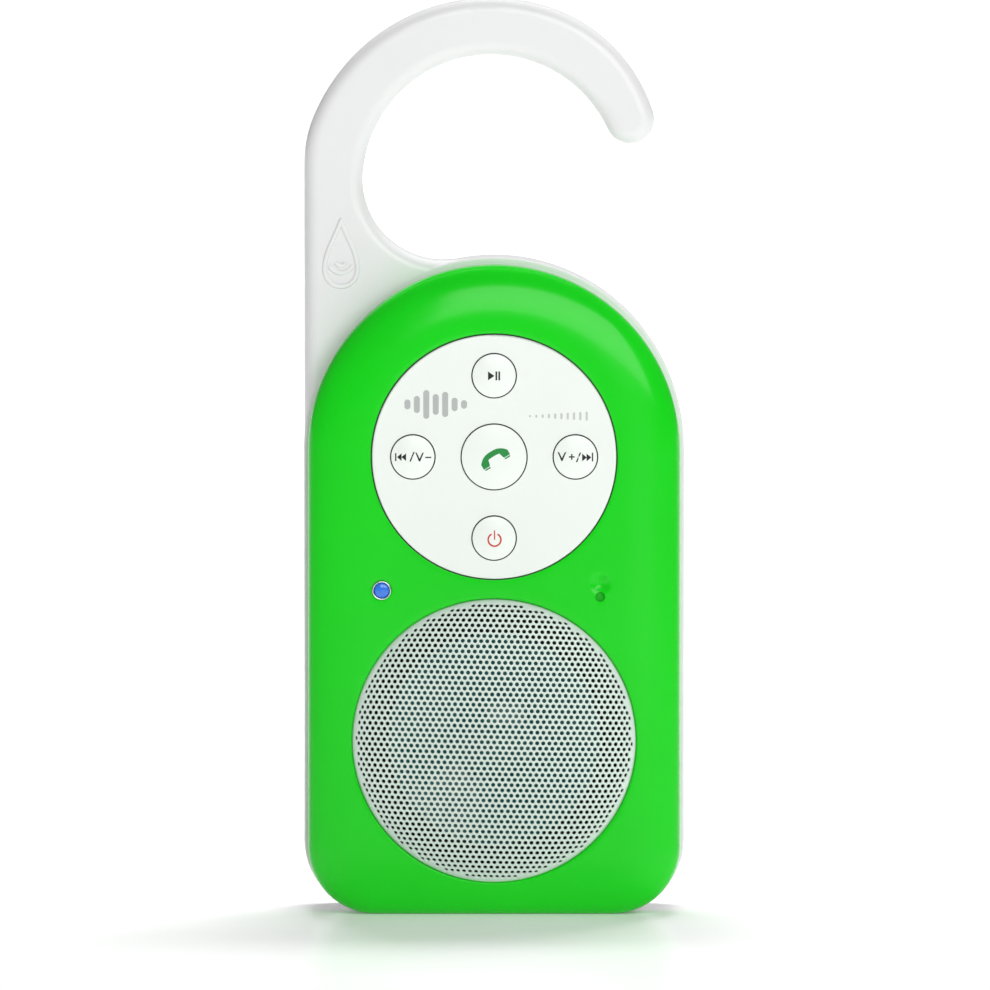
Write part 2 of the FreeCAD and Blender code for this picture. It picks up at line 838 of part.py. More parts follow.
def make_keypad():
    """Silicone sheet with a pad and a nub for each button, and a skirt that seals."""
    body = new_body("keypad")
    centre = (0, d.panel_height)
    pad(body, d.keypad_front, d.keypad_back, circles(centre + (d.keypad_radius,)))
    skirt = circles(centre + (d.keypad_radius,), centre + (d.keypad_radius - d.keypad_skirt,))
    floor = d.cover_face + d.cover_wall
    pad(body, floor + d.keypad_gap, d.board_front - d.keypad_gap, skirt)
    pads = [button_place(name) + (cap_radius(name) + d.button_sill,) for name in BUTTONS]
    pad(body, d.button_rim_back + d.keypad_gap, d.keypad_front, circles(*pads))
    nubs = [button_place(name) + (d.nub_radius,) for name in BUTTONS]
    pad(body, d.keypad_back, d.stem_front - d.keypad_gap, circles(*nubs))
    node("keypad", body)


def make_switches():
    cases = []
    for name in BUTTONS:
        across, up = button_place(name)
        half = d.switch_half
        case = block(f"switch_case_{name}", across - half, across + half, d.switch_front,
                     d.board_front, up - half, up + half)
        bore = cylinder(f"switch_bore_{name}", across, up, d.stem_radius + d.stem_gap,
                        d.switch_front - 1, d.stem_bore_back)
        cases.append(carve(f"switch_{name}", case, [bore]))
        stem = cylinder(f"switch_stem_{name}", across, up, d.stem_radius, d.stem_front, d.stem_back)
        node(f"switch_stem_{name}", stem)
    node("switch_cases", together("switch_cases", cases))


# ---- electronics ------------------------------------------------------------------------


def make_main_board():
    body = new_body("main_board")
    lower = rectangle(-d.board_half_width, d.board_half_width, d.board_bottom, d.panel_height)
    pad(body, d.board_front, d.board_back, circles((0, d.panel_height, d.board_radius)))
    pad(body, d.board_front, d.board_back, outlines(lower))
    holes = [place + (d.board_screw_radius + 0.2,) for place in board_screw_places()]
    pocket(body, d.board_front, d.board_back, circles(*holes))
    node("main_board", body)


def on_board(name, across, up, width, height, tall):
    """A component on the back of the main board."""
    item = block(name, as_size(across) - width / 2, as_size(across) + width / 2, d.board_back,
                 d.board_back + tall, as_size(up) - height / 2, as_size(up) + height / 2)
    return node(name, item)


def make_board_parts():
    on_board("radio_module", -12, 114, 17, 13, 2.4)
    on_board("amplifier_chip", 10, 92, 6, 6, 1.1)
    on_board("charger_chip", -8, 82, 4, 4, 1.0)
    on_board("battery_socket", -20, 101, 5, 8, 4.5)
    on_board("speaker_socket", 10, 76, 8, 5, 4.5)
    on_board("port_lead_socket", -20, 76, 8, 5, 4.5)
    cans = [cylinder(f"can_{index}", 20, up, 3.15, d.board_back, d.board_back + 6.5)
            for index, up in enumerate((102, 110), 1)]
    node("capacitors", together("capacitors", cans))


def make_status_light():
    light = new_body("light_guide")
    turn(light, [
        (d.light_front, 0),
        (d.light_front, d.light_radius),
        (d.light_back, d.light_radius),
        (d.light_back, 0),
    ])
    move(light, d.light_x, 0, d.light_height)
    round_edges(light, d.panel_edge, d.light_front)
    node("light_guide", light)
    node("light_bezel", ring("light_bezel", d.bezel_front, d.bezel_back, d.light_radius + d.light_gap,
                             d.bezel_radius, d.light_height, d.light_x))
    half = d.light_radius / 2
    chip = block("status_led", d.light_x - half, d.light_x + half, d.board_front - 1.2, d.board_front,
                 d.light_height - half, d.light_height + half)
    node("status_led", chip)


def make_microphone():
    capsule = cylinder("microphone", d.mike_x, d.mike_height, d.mike_radius,
                       d.board_front - d.mike_length, d.board_front)
    node("microphone", capsule)
    boot = new_body("microphone_boot")
    capsule_front = d.board_front - d.mike_length
    floor = d.cover_face + d.cover_wall
    inner = d.mike_radius + d.keypad_gap
    turn(boot, [
        (floor, d.mike_bore),
        (capsule_front, d.mike_bore),
        (capsule_front, inner),
        (d.board_front, inner),
        (d.board_front, d.boot_radius),
        (floor, d.boot_radius),
    ])
    move(boot, d.mike_x, 0, d.mike_height)
    node("microphone_boot", boot)


def make_battery():
    body = new_body("battery")
    half, corner = d.battery_half_width, d.battery_corner
    low, high = d.battery_bottom, d.battery_top
    pad(body, d.battery_front, d.battery_back, outlines([
        (corner - half, low), (half - corner, low, corner),
        (half, low + corner), (half, high - corner, corner),
        (half - corner, high), (corner - half, high, corner),
        (-half, high - corner), (-half, low + corner, corner),
    ]))
    round_edges(body, corner / 2, d.battery_front)
    node("battery", body)
    inset = d.battery_pad_inset
    foam = block("battery_pad", inset - half, half - inset, d.battery_back,
                 d.rear_face - d.shell_back_wall, low + inset, high - inset)
    node("battery_pad", foam)


# ---- charging port ----------------------------------------------------------------------


def make_port():
    wall = d.port_wall
    can = block("port_can", d.port_mouth, d.port_inner, d.port_front, d.port_back, d.port_bottom,
                d.port_top)
    hollow = block("port_hollow", d.port_mouth - 1, d.port_inner - 1, d.port_front + wall,
                   d.port_back - wall, d.port_bottom + wall, d.port_top - wall)
    node("charging_socket", carve("charging_socket", can, [hollow]))
    middle = (d.port_front + d.port_back) / 2
    tongue = block("socket_tongue", d.port_mouth + 1, d.port_inner - 1, middle - wall, middle + wall,
                   d.port_bottom + 1.5, d.port_top - 1.5)
    node("socket_tongue", tongue)
    board = block("port_board", d.port_mouth, d.port_inner + 9, d.port_back,
                  d.port_back + d.port_board_thickness, d.port_bottom - 4, d.port_top + 4)
    node("port_board", board)


def make_port_door():
    """Rubber flap with a round hinge end at its top and a plug that fills the opening."""
    body = new_body("port_door")
    half = d.door_half_thickness
    sketch = new_sketch(body, "XZ_Plane", -d.door_back)
    circle(sketch, d.door_axis_x, d.door_axis_height, half)
    feature = body.newObject("PartDesign::Pad", "port_door_barrel")
    feature.Profile = sketch
    bind(feature, "Length", d.door_back - d.door_front)
    finish_feature(body, feature, True)
    leaf = rectangle(d.door_axis_x - half, d.door_axis_x + half, d.door_bottom, d.door_axis_height)
    pad(body, d.door_front, d.door_back, outlines(leaf))
    gap = d.pin_gap
    plug = rectangle(d.door_axis_x + half - 0.1, d.port_mouth - 0.4, d.port_bottom + gap,
                     d.port_top - gap)
    pad(body, d.port_front + gap, d.port_back - gap, outlines(plug))
    bore = circles((d.door_axis_x, d.door_axis_height, d.pin_radius + d.pin_gap))
    pocket(body, d.door_front, d.door_back, bore)
    node("port_door", body)
    pin = cylinder("door_pin", d.door_axis_x, d.door_axis_height, d.pin_radius,
                   d.door_front - d.pin_reach + 0.1, d.door_back + d.pin_reach - 0.1)
    node("door_pin", pin)


# ---- loudspeaker ------------------------------------------------------------------------


def dome_bend(half_chord, rise):
    return (half_chord * half_chord + rise * rise) / (2 * rise)


def make_grille():
    body = new_body("speaker_grille")
    front = -d.rear_face
    shoulder = d.cover_face - 0.8
    wall = d.grille_wall
    dome = dome_bend(d.grille_shoulder, shoulder - front)
    turn(body, [
        (front, 0, -dome),
        (shoulder, d.grille_shoulder, -d.grille_curl),
        (shoulder + d.grille_curl, d.grille_radius),
        (d.grille_back, d.grille_radius),
        (d.grille_back, d.grille_radius - wall),
        (shoulder + d.grille_curl, d.grille_radius - wall, d.grille_curl - wall),
        (shoulder + wall, d.grille_shoulder, dome),
        (front + wall, 0),
    ])
    move(body, 0, 0, d.driver_height)
    node("speaker_grille", body)


def make_driver_frame():
    body = new_body("driver_frame")
    wall = d.basket_wall
    turn(body, [
        (d.flange_front, d.flange_inner),
        (d.flange_front, d.lip_radius),
        (d.flange_back, d.lip_radius),
        (d.flange_back, d.flange_inner + wall),
        (d.ledge_front, d.ledge_radius),
        (d.ledge_front + wall, d.ledge_radius),
        (d.basket_back, d.ledge_inner),
        (d.basket_back, d.plate_bore),
        (d.basket_back - wall, d.plate_bore),
        (d.basket_back - wall, d.ledge_inner - wall),
        (d.ledge_front + wall, d.ledge_inner - wall),
        (d.ledge_front, d.ledge_inner - wall),
        (d.ledge_front, d.ledge_radius - wall),
        (d.flange_back, d.flange_inner),
    ])
    centre = (as_size(0), as_size(0))
    ears = [polar(centre, d.ear_circle, 45 + 90 * quarter) for quarter in range(4)]
    pad(body, d.flange_front, d.flange_back, circles(*[ear + (d.ear_radius,) for ear in ears]))
    pocket(body, d.flange_front, d.flange_back, circles(*[ear + (d.driver_screw_bore,) for ear in ears]))
    # Eight windows in the basket, round its axis.
    window = new_sketch(body, "XZ_Plane", -(d.flange_back + wall))
    circle(window, (d.flange_inner + d.ledge_radius) / 2, 0, d.window_radius)
    cut = body.newObject("PartDesign::Pocket", "driver_frame_window")
    cut.Profile = window
    bind(cut, "Length", d.ledge_front - d.flange_back - 2 * wall)
    finish_feature(body, cut, False)
    pattern = body.newObject("PartDesign::PolarPattern", "driver_frame_windows")
    pattern.Originals = [cut]
    pattern.Axis = (origin_plane(body, "Y_Axis"), [""])
    pattern.Angle = 360
    pattern.Occurrences = 8
    body.Tip = pattern
    finish_feature(body, pattern, False)
    move(body, 0, 0, d.driver_height)
    node("driver_frame", body)


def make_magnet_parts():
    up = d.driver_height
    node("driver_top_plate", ring("driver_top_plate", d.basket_back, d.plate_back, d.plate_bore,
                                  d.plate_radius, up))
    node("driver_magnet", ring("driver_magnet", d.plate_back, d.magnet_back, d.magnet_bore,
                               d.magnet_radius, up))
    yoke = new_body("driver_yoke")
    turn(yoke, [
        (d.basket_back, 0),
        (d.basket_back, d.pole_radius),
        (d.magnet_back, d.pole_radius),
        (d.magnet_back, d.yoke_radius),
        (d.yoke_back, d.yoke_radius),
        (d.yoke_back, 0),
    ])
    move(yoke, 0, 0, up)
    node("driver_yoke", yoke)
    node("driver_seal", ring("driver_seal", d.lip_back, d.flange_front, d.mouth_radius,
                             d.lip_radius, up))


def make_cone():
    cone = new_body("driver_cone")
    wall = d.cone_wall
    turn(cone, [
        (d.cone_throat, d.cone_inner),
        (d.cone_mouth, d.cone_outer),
        (d.cone_mouth - wall, d.cone_outer),
        (d.cone_throat - wall, d.cone_inner),
    ])
    move(cone, 0, 0, d.driver_height)
    node("driver_cone", cone)
    cap = new_body("driver_dust_cap")
    rise = d.cap_back - d.cap_front
    inner = d.cap_radius - d.cap_wall
    turn(cap, [
        (d.cap_front, 0, -dome_bend(d.cap_radius, rise)),
        (d.cap_back, d.cap_radius),
        (d.cap_back, inner, dome_bend(inner, rise - d.cap_wall)),
        (d.cap_front + d.cap_wall, 0),
    ])
    move(cap, 0, 0, d.driver_height)
    node("driver_dust_cap", cap)
    node("voice_coil", ring("voice_coil", d.coil_front, d.coil_back, d.coil_inner, d.coil_outer,
                            d.driver_height))


def make_suspension():
    """The rubber half-roll round the cone, and the flat spider at its neck."""
    roll = new_body("driver_surround")
    wall = d.surround_wall
    back = d.flange_front
    front = back - wall
    outer, inner = d.roll_radius, d.roll_radius - wall
    middle = d.roll_middle
    turn(roll, [
        (back, d.surround_inner),
        (back, middle - inner, -inner),
        (back - inner, middle, -inner),
        (back, middle + inner),
        (back, d.surround_outer),
        (front, d.surround_outer),
        (front, middle + outer, outer),
        (front - outer, middle, outer),
        (front, middle - outer),
        (front, d.surround_inner),
    ])
    move(roll, 0, 0, d.driver_height)
    node("driver_surround", roll)
    node("driver_spider", ring("driver_spider", d.ledge_front - d.spider_wall, d.ledge_front,
                               d.cone_inner, d.ledge_radius - 2 * d.basket_wall, d.driver_height))


def make_terminals():
    up = d.driver_height + d.ledge_radius
    board = block("terminal_board", -4, 4, d.ledge_front + 1.6, d.ledge_front + 2.6, up + 0.3, up + 7)
    node("terminal_board", board)
    tabs = [block(f"tab_{index}", across - 1.1, across + 1.1, d.ledge_front + 2.6,
                  d.ledge_front + 3.1, up + 2, up + 8)
            for index, across in enumerate((-2.4, 2.4), 1)]
    node("driver_terminals", together("driver_terminals", tabs))


# ---- leads ------------------------------------------------------------------------------


def lead(points, radius):
    """A wire along straight runs joined by tangent arcs as large as the runs allow."""
    points = [Vector(*point) for point in points]
    edges = []
    start = points[0]
    for before, corner, after in zip(points, points[1:], points[2:]):
        arrive = (corner - before).normalize()
        leave = (after - corner).normalize()
        half_turn = arrive.getAngle(leave) / 2
        trim = 0.45 * min((corner - before).Length, (after - corner).Length)
        bend = trim / math.tan(half_turn)
        first = corner - arrive * trim
        last = corner + leave * trim
        inward = (leave - arrive).normalize()
        middle = corner + inward * (bend / math.cos(half_turn) - bend)
        edges.append(Part.LineSegment(start, first).toShape())
        edges.append(Part.Arc(first, middle, last).toShape())
        print(f"lead bend radius {bend:.1f}")
        start = last
    edges.append(Part.LineSegment(start, points[-1]).toShape())
    path = Part.Wire(edges)
    heading = (points[1] - points[0]).normalize()
    section = Part.Wire([Part.Circle(points[0], heading, radius).toShape()])
    solid = path.makePipeShell([section], True, True)
    expected = math.pi * radius ** 2 * path.Length
    assert abs(solid.Volume / expected - 1) < 0.02, f"lead volume {solid.Volume} of {expected}"
    return solid


def make_lead_pair(label, route, spread):
    """Two wires side by side along one route, spread apart along X or Z."""
    radius = d.lead_radius.value
    wires = []
    for side in (-1, 1):
        shift = [side * amount for amount in spread]
        wires.append(lead([[p + q for p, q in zip(point, shift)] for point in route], radius))
    item = document.addObject("Part::Feature", label)
    item.Shape = Part.Compound(wires)
    item.Placement = FreeCAD.Placement()
    node(label, item)


def make_leads():
    socket_back = (d.board_back + 4.5).value
    tab_back = (d.ledge_front + 3.1).value
    radius = d.lead_radius.value
    terminal_height = (d.driver_height + d.ledge_radius).value + 6
    make_lead_pair("speaker_leads", [
        (10, socket_back, 76),
        (10, socket_back + 5, 76),
        (6, socket_back + 9, 72),
        (0, tab_back + 5, terminal_height),
        (0, tab_back, terminal_height),
    ], (2.4, 0, 0))
    battery_left = -d.battery_half_width.value
    battery_middle = ((d.battery_front + d.battery_back) / 2).value
    make_lead_pair("battery_leads", [
        (-20, socket_back, 101),
        (-20, socket_back + 5, 101),
        (battery_left - 4, socket_back + 7, 101),
        (battery_left - 9, battery_middle - 3.5, 101),
        (battery_left - 6, battery_middle, 101),
        (battery_left, battery_middle, 101),
    ], (0, 0, 2 * radius))
    board_rear = (d.port_back + d.port_board_thickness).value
    make_lead_pair("port_leads", [
        (-20, socket_back, 76),
        (-20, socket_back + 5, 76),
        (-23, socket_back + 9, 67),
        (-27, board_rear + 4, 57),
        (-28, board_rear + 4.5, 47),
        (-28, board_rear, 47),
    ], (2 * radius, 0, 0))


# ---- build ------------------------------------------------------------------------------


def build():
    make_front_cover()
    make_hook_frame()
    make_rear_shell()
    make_seals()
    make_fasteners()
    make_control_panel()
    for name in BUTTONS:
        make_button(name)
    make_keypad()
    make_switches()
    make_main_board()
    make_board_parts()
    make_status_light()
    make_microphone()
    make_battery()
    make_port()
    make_port_door()
    make_grille()
    make_driver_frame()
    make_magnet_parts()
    make_cone()
    make_suspension()
    make_terminals()
    make_leads()


def check_and_write():
    document.recompute()
    for item in document.Objects:
        assert "Invalid" not in item.State and "Error" not in item.State, f"{item.Name}: {item.State}"
    os.makedirs("parts", exist_ok=True)
    for label, item in nodes.items():
        shape = item.Shape
        assert not shape.isNull() and shape.isValid(), f"{label} has no valid shape"
    for label, item in nodes.items():
        item.Shape.exportStep(f"parts/{label}.step")
        print(f"{label}: {len(item.Shape.Solids)} solids, {item.Shape.Volume:.1f} mm3")


build()
check_and_write()
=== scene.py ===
import bisect
import json
import math

import bmesh
import bpy
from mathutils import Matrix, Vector
from mathutils.geometry import delaunay_2d_cdt


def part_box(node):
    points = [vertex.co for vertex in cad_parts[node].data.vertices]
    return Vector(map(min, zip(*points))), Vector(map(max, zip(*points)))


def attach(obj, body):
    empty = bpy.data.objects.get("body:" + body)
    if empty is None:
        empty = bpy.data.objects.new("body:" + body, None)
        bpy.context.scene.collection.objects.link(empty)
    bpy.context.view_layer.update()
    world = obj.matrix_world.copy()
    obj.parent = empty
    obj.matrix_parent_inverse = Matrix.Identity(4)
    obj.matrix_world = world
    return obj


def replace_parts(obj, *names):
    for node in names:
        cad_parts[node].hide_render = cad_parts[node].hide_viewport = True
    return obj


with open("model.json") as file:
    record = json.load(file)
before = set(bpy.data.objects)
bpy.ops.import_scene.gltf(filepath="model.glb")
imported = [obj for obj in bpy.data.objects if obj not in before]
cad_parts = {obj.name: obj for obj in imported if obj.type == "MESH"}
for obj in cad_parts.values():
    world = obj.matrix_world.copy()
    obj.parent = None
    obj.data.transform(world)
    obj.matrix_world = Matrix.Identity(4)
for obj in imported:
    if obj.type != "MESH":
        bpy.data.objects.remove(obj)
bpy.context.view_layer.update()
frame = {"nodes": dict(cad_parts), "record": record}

MM = 0.001


# ---- sizes read from the frame ----------------------------------------------------------

KEYS = ("play", "power", "back", "next", "call")
MEASURED = ("front_cover", "control_panel", "speaker_grille", "light_bezel", "light_guide", "hook_frame",
            "microphone_boot")
MEASURED += tuple(f"button_{key}" for key in KEYS)
BOXES = {node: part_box(node) for node in MEASURED}


def low(node, axis):
    return BOXES[node][0][axis]


def high(node, axis):
    return BOXES[node][1][axis]


def middle(node):
    return (Vector(BOXES[node][0]) + Vector(BOXES[node][1])) / 2


def half_width(node):
    return (high(node, 0) - low(node, 0)) / 2


GRILLE_RADIUS = half_width("speaker_grille")
GRILLE_DEPTH = high("speaker_grille", 1) - low("speaker_grille", 1)


# ---- materials --------------------------------------------------------------------------


def add(nodes, kind, **inputs):
    item = nodes.new(kind)
    for name, value in inputs.items():
        item.inputs[name.replace("_", " ")].default_value = value
    return item


def surface(name, color, rough=0.3, spread=0.06, grain=400.0, bump=0.05, blotch=18.0, depth=0.0001,
            vary=0.05, **sockets):
    """A shader whose colour, roughness and relief vary a little from place to place."""
    material = bpy.data.materials.new(name)
    material.use_nodes = True
    nodes, links = material.node_tree.nodes, material.node_tree.links
    shader = nodes["Principled BSDF"]
    for socket, value in sockets.items():
        shader.inputs[socket.replace("_", " ")].default_value = value
    place = nodes.new("ShaderNodeTexCoord")
    broad = add(nodes, "ShaderNodeTexNoise", Scale=blotch, Detail=3.0, Roughness=0.55)
    fine = add(nodes, "ShaderNodeTexNoise", Scale=grain, Detail=4.0, Roughness=0.6)
    links.new(place.outputs["Object"], broad.inputs["Vector"])
    links.new(place.outputs["Object"], fine.inputs["Vector"])
    ramp = nodes.new("ShaderNodeValToRGB")
    ramp.color_ramp.elements[0].position = 0.3
    ramp.color_ramp.elements[1].position = 0.7
    ramp.color_ramp.elements[0].color = tuple(c * (1 - vary) for c in color) + (1,)
    ramp.color_ramp.elements[1].color = tuple(min(c * (1 + vary), 1) for c in color) + (1,)
    links.new(broad.outputs["Fac"], ramp.inputs["Fac"])
    links.new(ramp.outputs["Color"], shader.inputs["Base Color"])
    scale = nodes.new("ShaderNodeMapRange")
    scale.inputs["To Min"].default_value = max(rough - spread, 0.02)
    scale.inputs["To Max"].default_value = min(rough + spread, 1.0)
    links.new(fine.outputs["Fac"], scale.inputs["Value"])
    links.new(scale.outputs["Result"], shader.inputs["Roughness"])
    relief = add(nodes, "ShaderNodeBump", Strength=bump, Distance=depth)
    links.new(fine.outputs["Fac"], relief.inputs["Height"])
    links.new(relief.outputs["Normal"], shader.inputs["Normal"])
    return material


def make_materials():
    return {
        "green": surface("green_gloss", (0.003, 0.6, 0.006), rough=0.2, spread=0.03, grain=900, bump=0.03,
                         depth=0.00002, vary=0.04, Coat_Weight=0.1, Coat_Roughness=0.06, IOR=1.5,
                         Specular_IOR_Level=0.3),
        "white": surface("white_gloss", (0.77, 0.77, 0.775), rough=0.3, spread=0.05, grain=1200, bump=0.04,
                         depth=0.00002, vary=0.015, Coat_Weight=0.15, Coat_Roughness=0.15, IOR=1.49),
        "panel": surface("panel_satin", (0.80, 0.85, 0.80), rough=0.34, spread=0.05, grain=1500, bump=0.05,
                         depth=0.00002, vary=0.015, Coat_Weight=0.1, Coat_Roughness=0.2),
        "button": surface("button_satin", (0.82, 0.87, 0.82), rough=0.3, spread=0.05, grain=1500, bump=0.04,
                          depth=0.00002, vary=0.015, Coat_Weight=0.2, Coat_Roughness=0.15),
        "grille": surface("grille_paint", (0.65, 0.76, 0.69), rough=0.33, spread=0.07, grain=2500, bump=0.12,
                          depth=0.00002, vary=0.03, Coat_Weight=0.2, Coat_Roughness=0.2),
        "silicone": surface("silicone", (0.42, 0.43, 0.43), rough=0.6, spread=0.08),
        # Black rubber for the CAD seals; also used for the painted shade rings in the gaps round the panel
        # and caps.
        "gap_shade": surface("seal_rubber", (0.012, 0.014, 0.012), rough=0.65, spread=0.1),
        # Painted shade for the microphone hole's dim green inside; there is no real cloth there.
        "mesh": surface("mic_hole_green_shade", (0.003, 0.4, 0.005), rough=0.8, spread=0.1, grain=4000, bump=0.5),
        "plug": surface("plug_rubber", (0.62, 0.63, 0.64), rough=0.55, spread=0.08, grain=2500, bump=0.15,
                        depth=0.00003, vary=0.03),
        "steel": surface("zinc_steel", (0.55, 0.55, 0.57), rough=0.3, spread=0.1, grain=3000, bump=0.1,
                         depth=0.00002, Metallic=1.0),
        "switch": surface("switch_plastic", (0.03, 0.03, 0.03), rough=0.5),
        "board": surface("solder_mask", (0.01, 0.12, 0.04), rough=0.35, grain=1500, bump=0.1),
        "chip": surface("chip_plastic", (0.02, 0.02, 0.022), rough=0.55, grain=3000, bump=0.1),
        "tin": surface("tin_plate", (0.7, 0.7, 0.69), rough=0.25, spread=0.1, Metallic=1.0),
        "aluminium": surface("drawn_aluminium", (0.75, 0.75, 0.76), rough=0.28, Metallic=1.0),
        "nylon": surface("nylon", (0.8, 0.78, 0.7), rough=0.5),
        "light": surface("light_blue", (0.02, 0.17, 0.68), rough=0.1, spread=0.02, grain=500, bump=0.02,
                         depth=0.00002, vary=0.2, Coat_Weight=0.6, Coat_Roughness=0.03,
                         Emission_Color=(0.02, 0.12, 0.8, 1), Emission_Strength=0.08),
        "chrome": surface("chrome", (0.78, 0.8, 0.8), rough=0.12, spread=0.03, Metallic=1.0, bump=0.02),
        "wrap": surface("battery_wrap", (0.03, 0.08, 0.2), rough=0.3, grain=900),
        # Black foam for the CAD pads; also used for the painted shade ring behind the grille's rim.
        "foam": surface("foam", (0.05, 0.05, 0.05), rough=0.9, grain=2500, bump=0.6),
        "basket": surface("basket_black", (0.03, 0.03, 0.035), rough=0.45, grain=2500, bump=0.2),
        "ferrite": surface("ferrite", (0.05, 0.05, 0.055), rough=0.6, grain=3000, bump=0.3),
        "cone": surface("cone_film", (0.03, 0.15, 0.15), rough=0.14, spread=0.04, grain=300, bump=0.05,
                        Coat_Weight=0.8, Coat_Roughness=0.04),
        "copper": surface("copper", (0.75, 0.35, 0.18), rough=0.35, Metallic=1.0),
        "cloth": surface("spider_cloth", (0.55, 0.38, 0.12), rough=0.8, grain=3500, bump=0.5),
        "lead": surface("lead_jacket", (0.3, 0.02, 0.02), rough=0.5),
        "ink_black": surface("ink_black", (0.006, 0.006, 0.007), rough=0.45, grain=3000),
        "ink_green": surface("ink_green", (0.003, 0.24, 0.035), rough=0.4, grain=3000),
        "ink_red": surface("ink_red", (0.56, 0.03, 0.012), rough=0.4, grain=3000),
        "ink_grey": surface("ink_grey", (0.42, 0.44, 0.43), rough=0.4, grain=3000),
        "ink_pale": surface("ink_pale", (0.52, 0.54, 0.53), rough=0.4, grain=3000),
    }


LOOKS = make_materials()

SLOT_LOOKS = {
    "green_plastic": "green",
    "white_plastic": "white",
    "panel_plastic": "panel",
    "button_plastic": "button",
    "grille_paint": "grille",
    "silicone": "silicone",
    "seal_rubber": "gap_shade",
    "plug_rubber": "plug",
    "screw_steel": "steel",
    "switch_plastic": "switch",
    "circuit_board": "board",
    "chip_plastic": "chip",
    "shield_tin": "tin",
    "can_aluminium": "aluminium",
    "socket_plastic": "nylon",
    "light_plastic": "light",
    "bezel_chrome": "chrome",
    "battery_wrap": "wrap",
    "pad_foam": "foam",
    "basket_steel": "basket",
    "magnet_ferrite": "ferrite",
    "cone_plastic": "cone",
    "coil_copper": "copper",
    "spider_cloth": "cloth",
    "lead_rubber": "lead",
}


def dress_nodes():
    """Gives every CAD node the finish that its slot in the record calls for."""
    for part in frame["record"]["subparts"]:
        item = frame["nodes"][part["node"]]
        item.data.materials.clear()
        item.data.materials.append(LOOKS[SLOT_LOOKS[part["material_slot"]]])


# ---- building pieces --------------------------------------------------------------------


def new_piece(name, points, faces, look, body="case", sharp=None):
    """A closed piece. With an angle, it is smooth apart from edges that are sharper; without one, flat."""
    mesh = bpy.data.meshes.new(name)
    mesh.from_pydata([tuple(point) for point in points], [], faces)
    mesh.validate()
    mesh.materials.append(LOOKS[look])
    piece = bpy.data.objects.new(name, mesh)
    bpy.context.collection.objects.link(piece)
    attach(piece, body)
    if sharp:
        mesh.shade_smooth()
    turn_outward(mesh)
    if sharp:
        mesh.set_sharp_from_angle(angle=math.radians(sharp))
    return piece


def turn_outward(mesh):
    """Turns every face of a closed mesh outward."""
    work = bmesh.new()
    work.from_mesh(mesh)
    bmesh.ops.remove_doubles(work, verts=work.verts, dist=1e-7)
    bmesh.ops.recalc_face_normals(work, faces=work.faces)
    work.to_mesh(mesh)
    work.free()


class Shell:
    """Points and faces of one piece, gathered ring by ring."""

    def __init__(self):
        self.points = []
        self.faces = []

    def ring(self, places):
        start = len(self.points)
        self.points += places
        return list(range(start, len(self.points)))

    def join(self, *rings):
        for one, two in zip(rings, rings[1:]):
            for k in range(len(one)):
                after = (k + 1) % len(one)
                self.faces.append((one[k], one[after], two[after], two[k]))

    def cap_ends(self, rings):
        """One flat face across the first ring and one across the last."""
        self.faces.append(tuple(rings[0]))
        self.faces.append(tuple(reversed(rings[-1])))

    def fill(self, outer, holes=(), extra=()):
        """Triangles between an outer ring and convex holes in it, through the extra points."""
        numbers, edges = [], []
        for loop in [outer] + holes:
            start = len(numbers)
            numbers += loop
            edges += [(start + k, start + (k + 1) % len(loop)) for k in range(len(loop))]
        numbers += extra
        flat = [Vector((self.points[n][0], self.points[n][2])) / MM for n in numbers]
        found = delaunay_2d_cdt(flat, edges, [], 1, 1e-5)
        inside = [set(hole) for hole in holes]
        for face in found[2]:
            corners = [numbers[found[3][k][0]] for k in face]
            if not any(hole.issuperset(corners) for hole in inside):
                self.faces.append(corners)


def around(across, up, radius, depth, count):
    """A circle of points; depth is a number or a function of the place."""
    places = []
    for k in range(count):
        angle = math.tau * k / count
        x, z = across + radius * math.cos(angle), up + radius * math.sin(angle)
        places.append((x, depth(x, z) if callable(depth) else depth, z))
    return places


# ---- front cover ------------------------------------------------------------------------

COVER_HALF = half_width("front_cover")
COVER_DOME = high("front_cover", 2) - COVER_HALF
COVER_FACE = low("front_cover", 1)
# The end of the CAD cover's lip, which lies behind the seam, inside the frame and the shell.
COVER_BACK = high("front_cover", 1)
COVER_CORNER = 15.0 * MM
COVER_WALL = 2.2 * MM
COVER_FLOOR = COVER_FACE + COVER_WALL
CROWN_REACH = 14.5 * MM
CROWN_DROP = 6.0 * MM
CROWN_POWER = 2.2
CROWN_SPAN = 6.2 * MM
CROWN_STEPS = 24
CROWN_EDGE = math.acos((1 - CROWN_SPAN / CROWN_REACH) ** (CROWN_POWER / 2))
# The side wall from its back edge: how far in and how far forward of that edge, in millimetres.
BACK_EASE = ((0.2, 0.0), (0.06, 0.06), (0.0, 0.2), (0.0, 2.5), (0.0, 5.0))
INNER_LIFT = 1.4 * MM
INNER_STEPS = 8
FOOT_STEPS = 40
CORNER_STEPS = 20
SIDE_STEPS = 60
ARCH_STEPS = 140
DISH_RADIUS = 2.7 * MM
DISH_DEPTH = 0.95 * MM
DISH_RISE = 2.9 * MM
DISH_PITCH = 0.3 * MM
FACE_PITCH = 0.95 * MM
ROW_SHARE = 0.866
DISH_MARGIN = 0.5 * MM

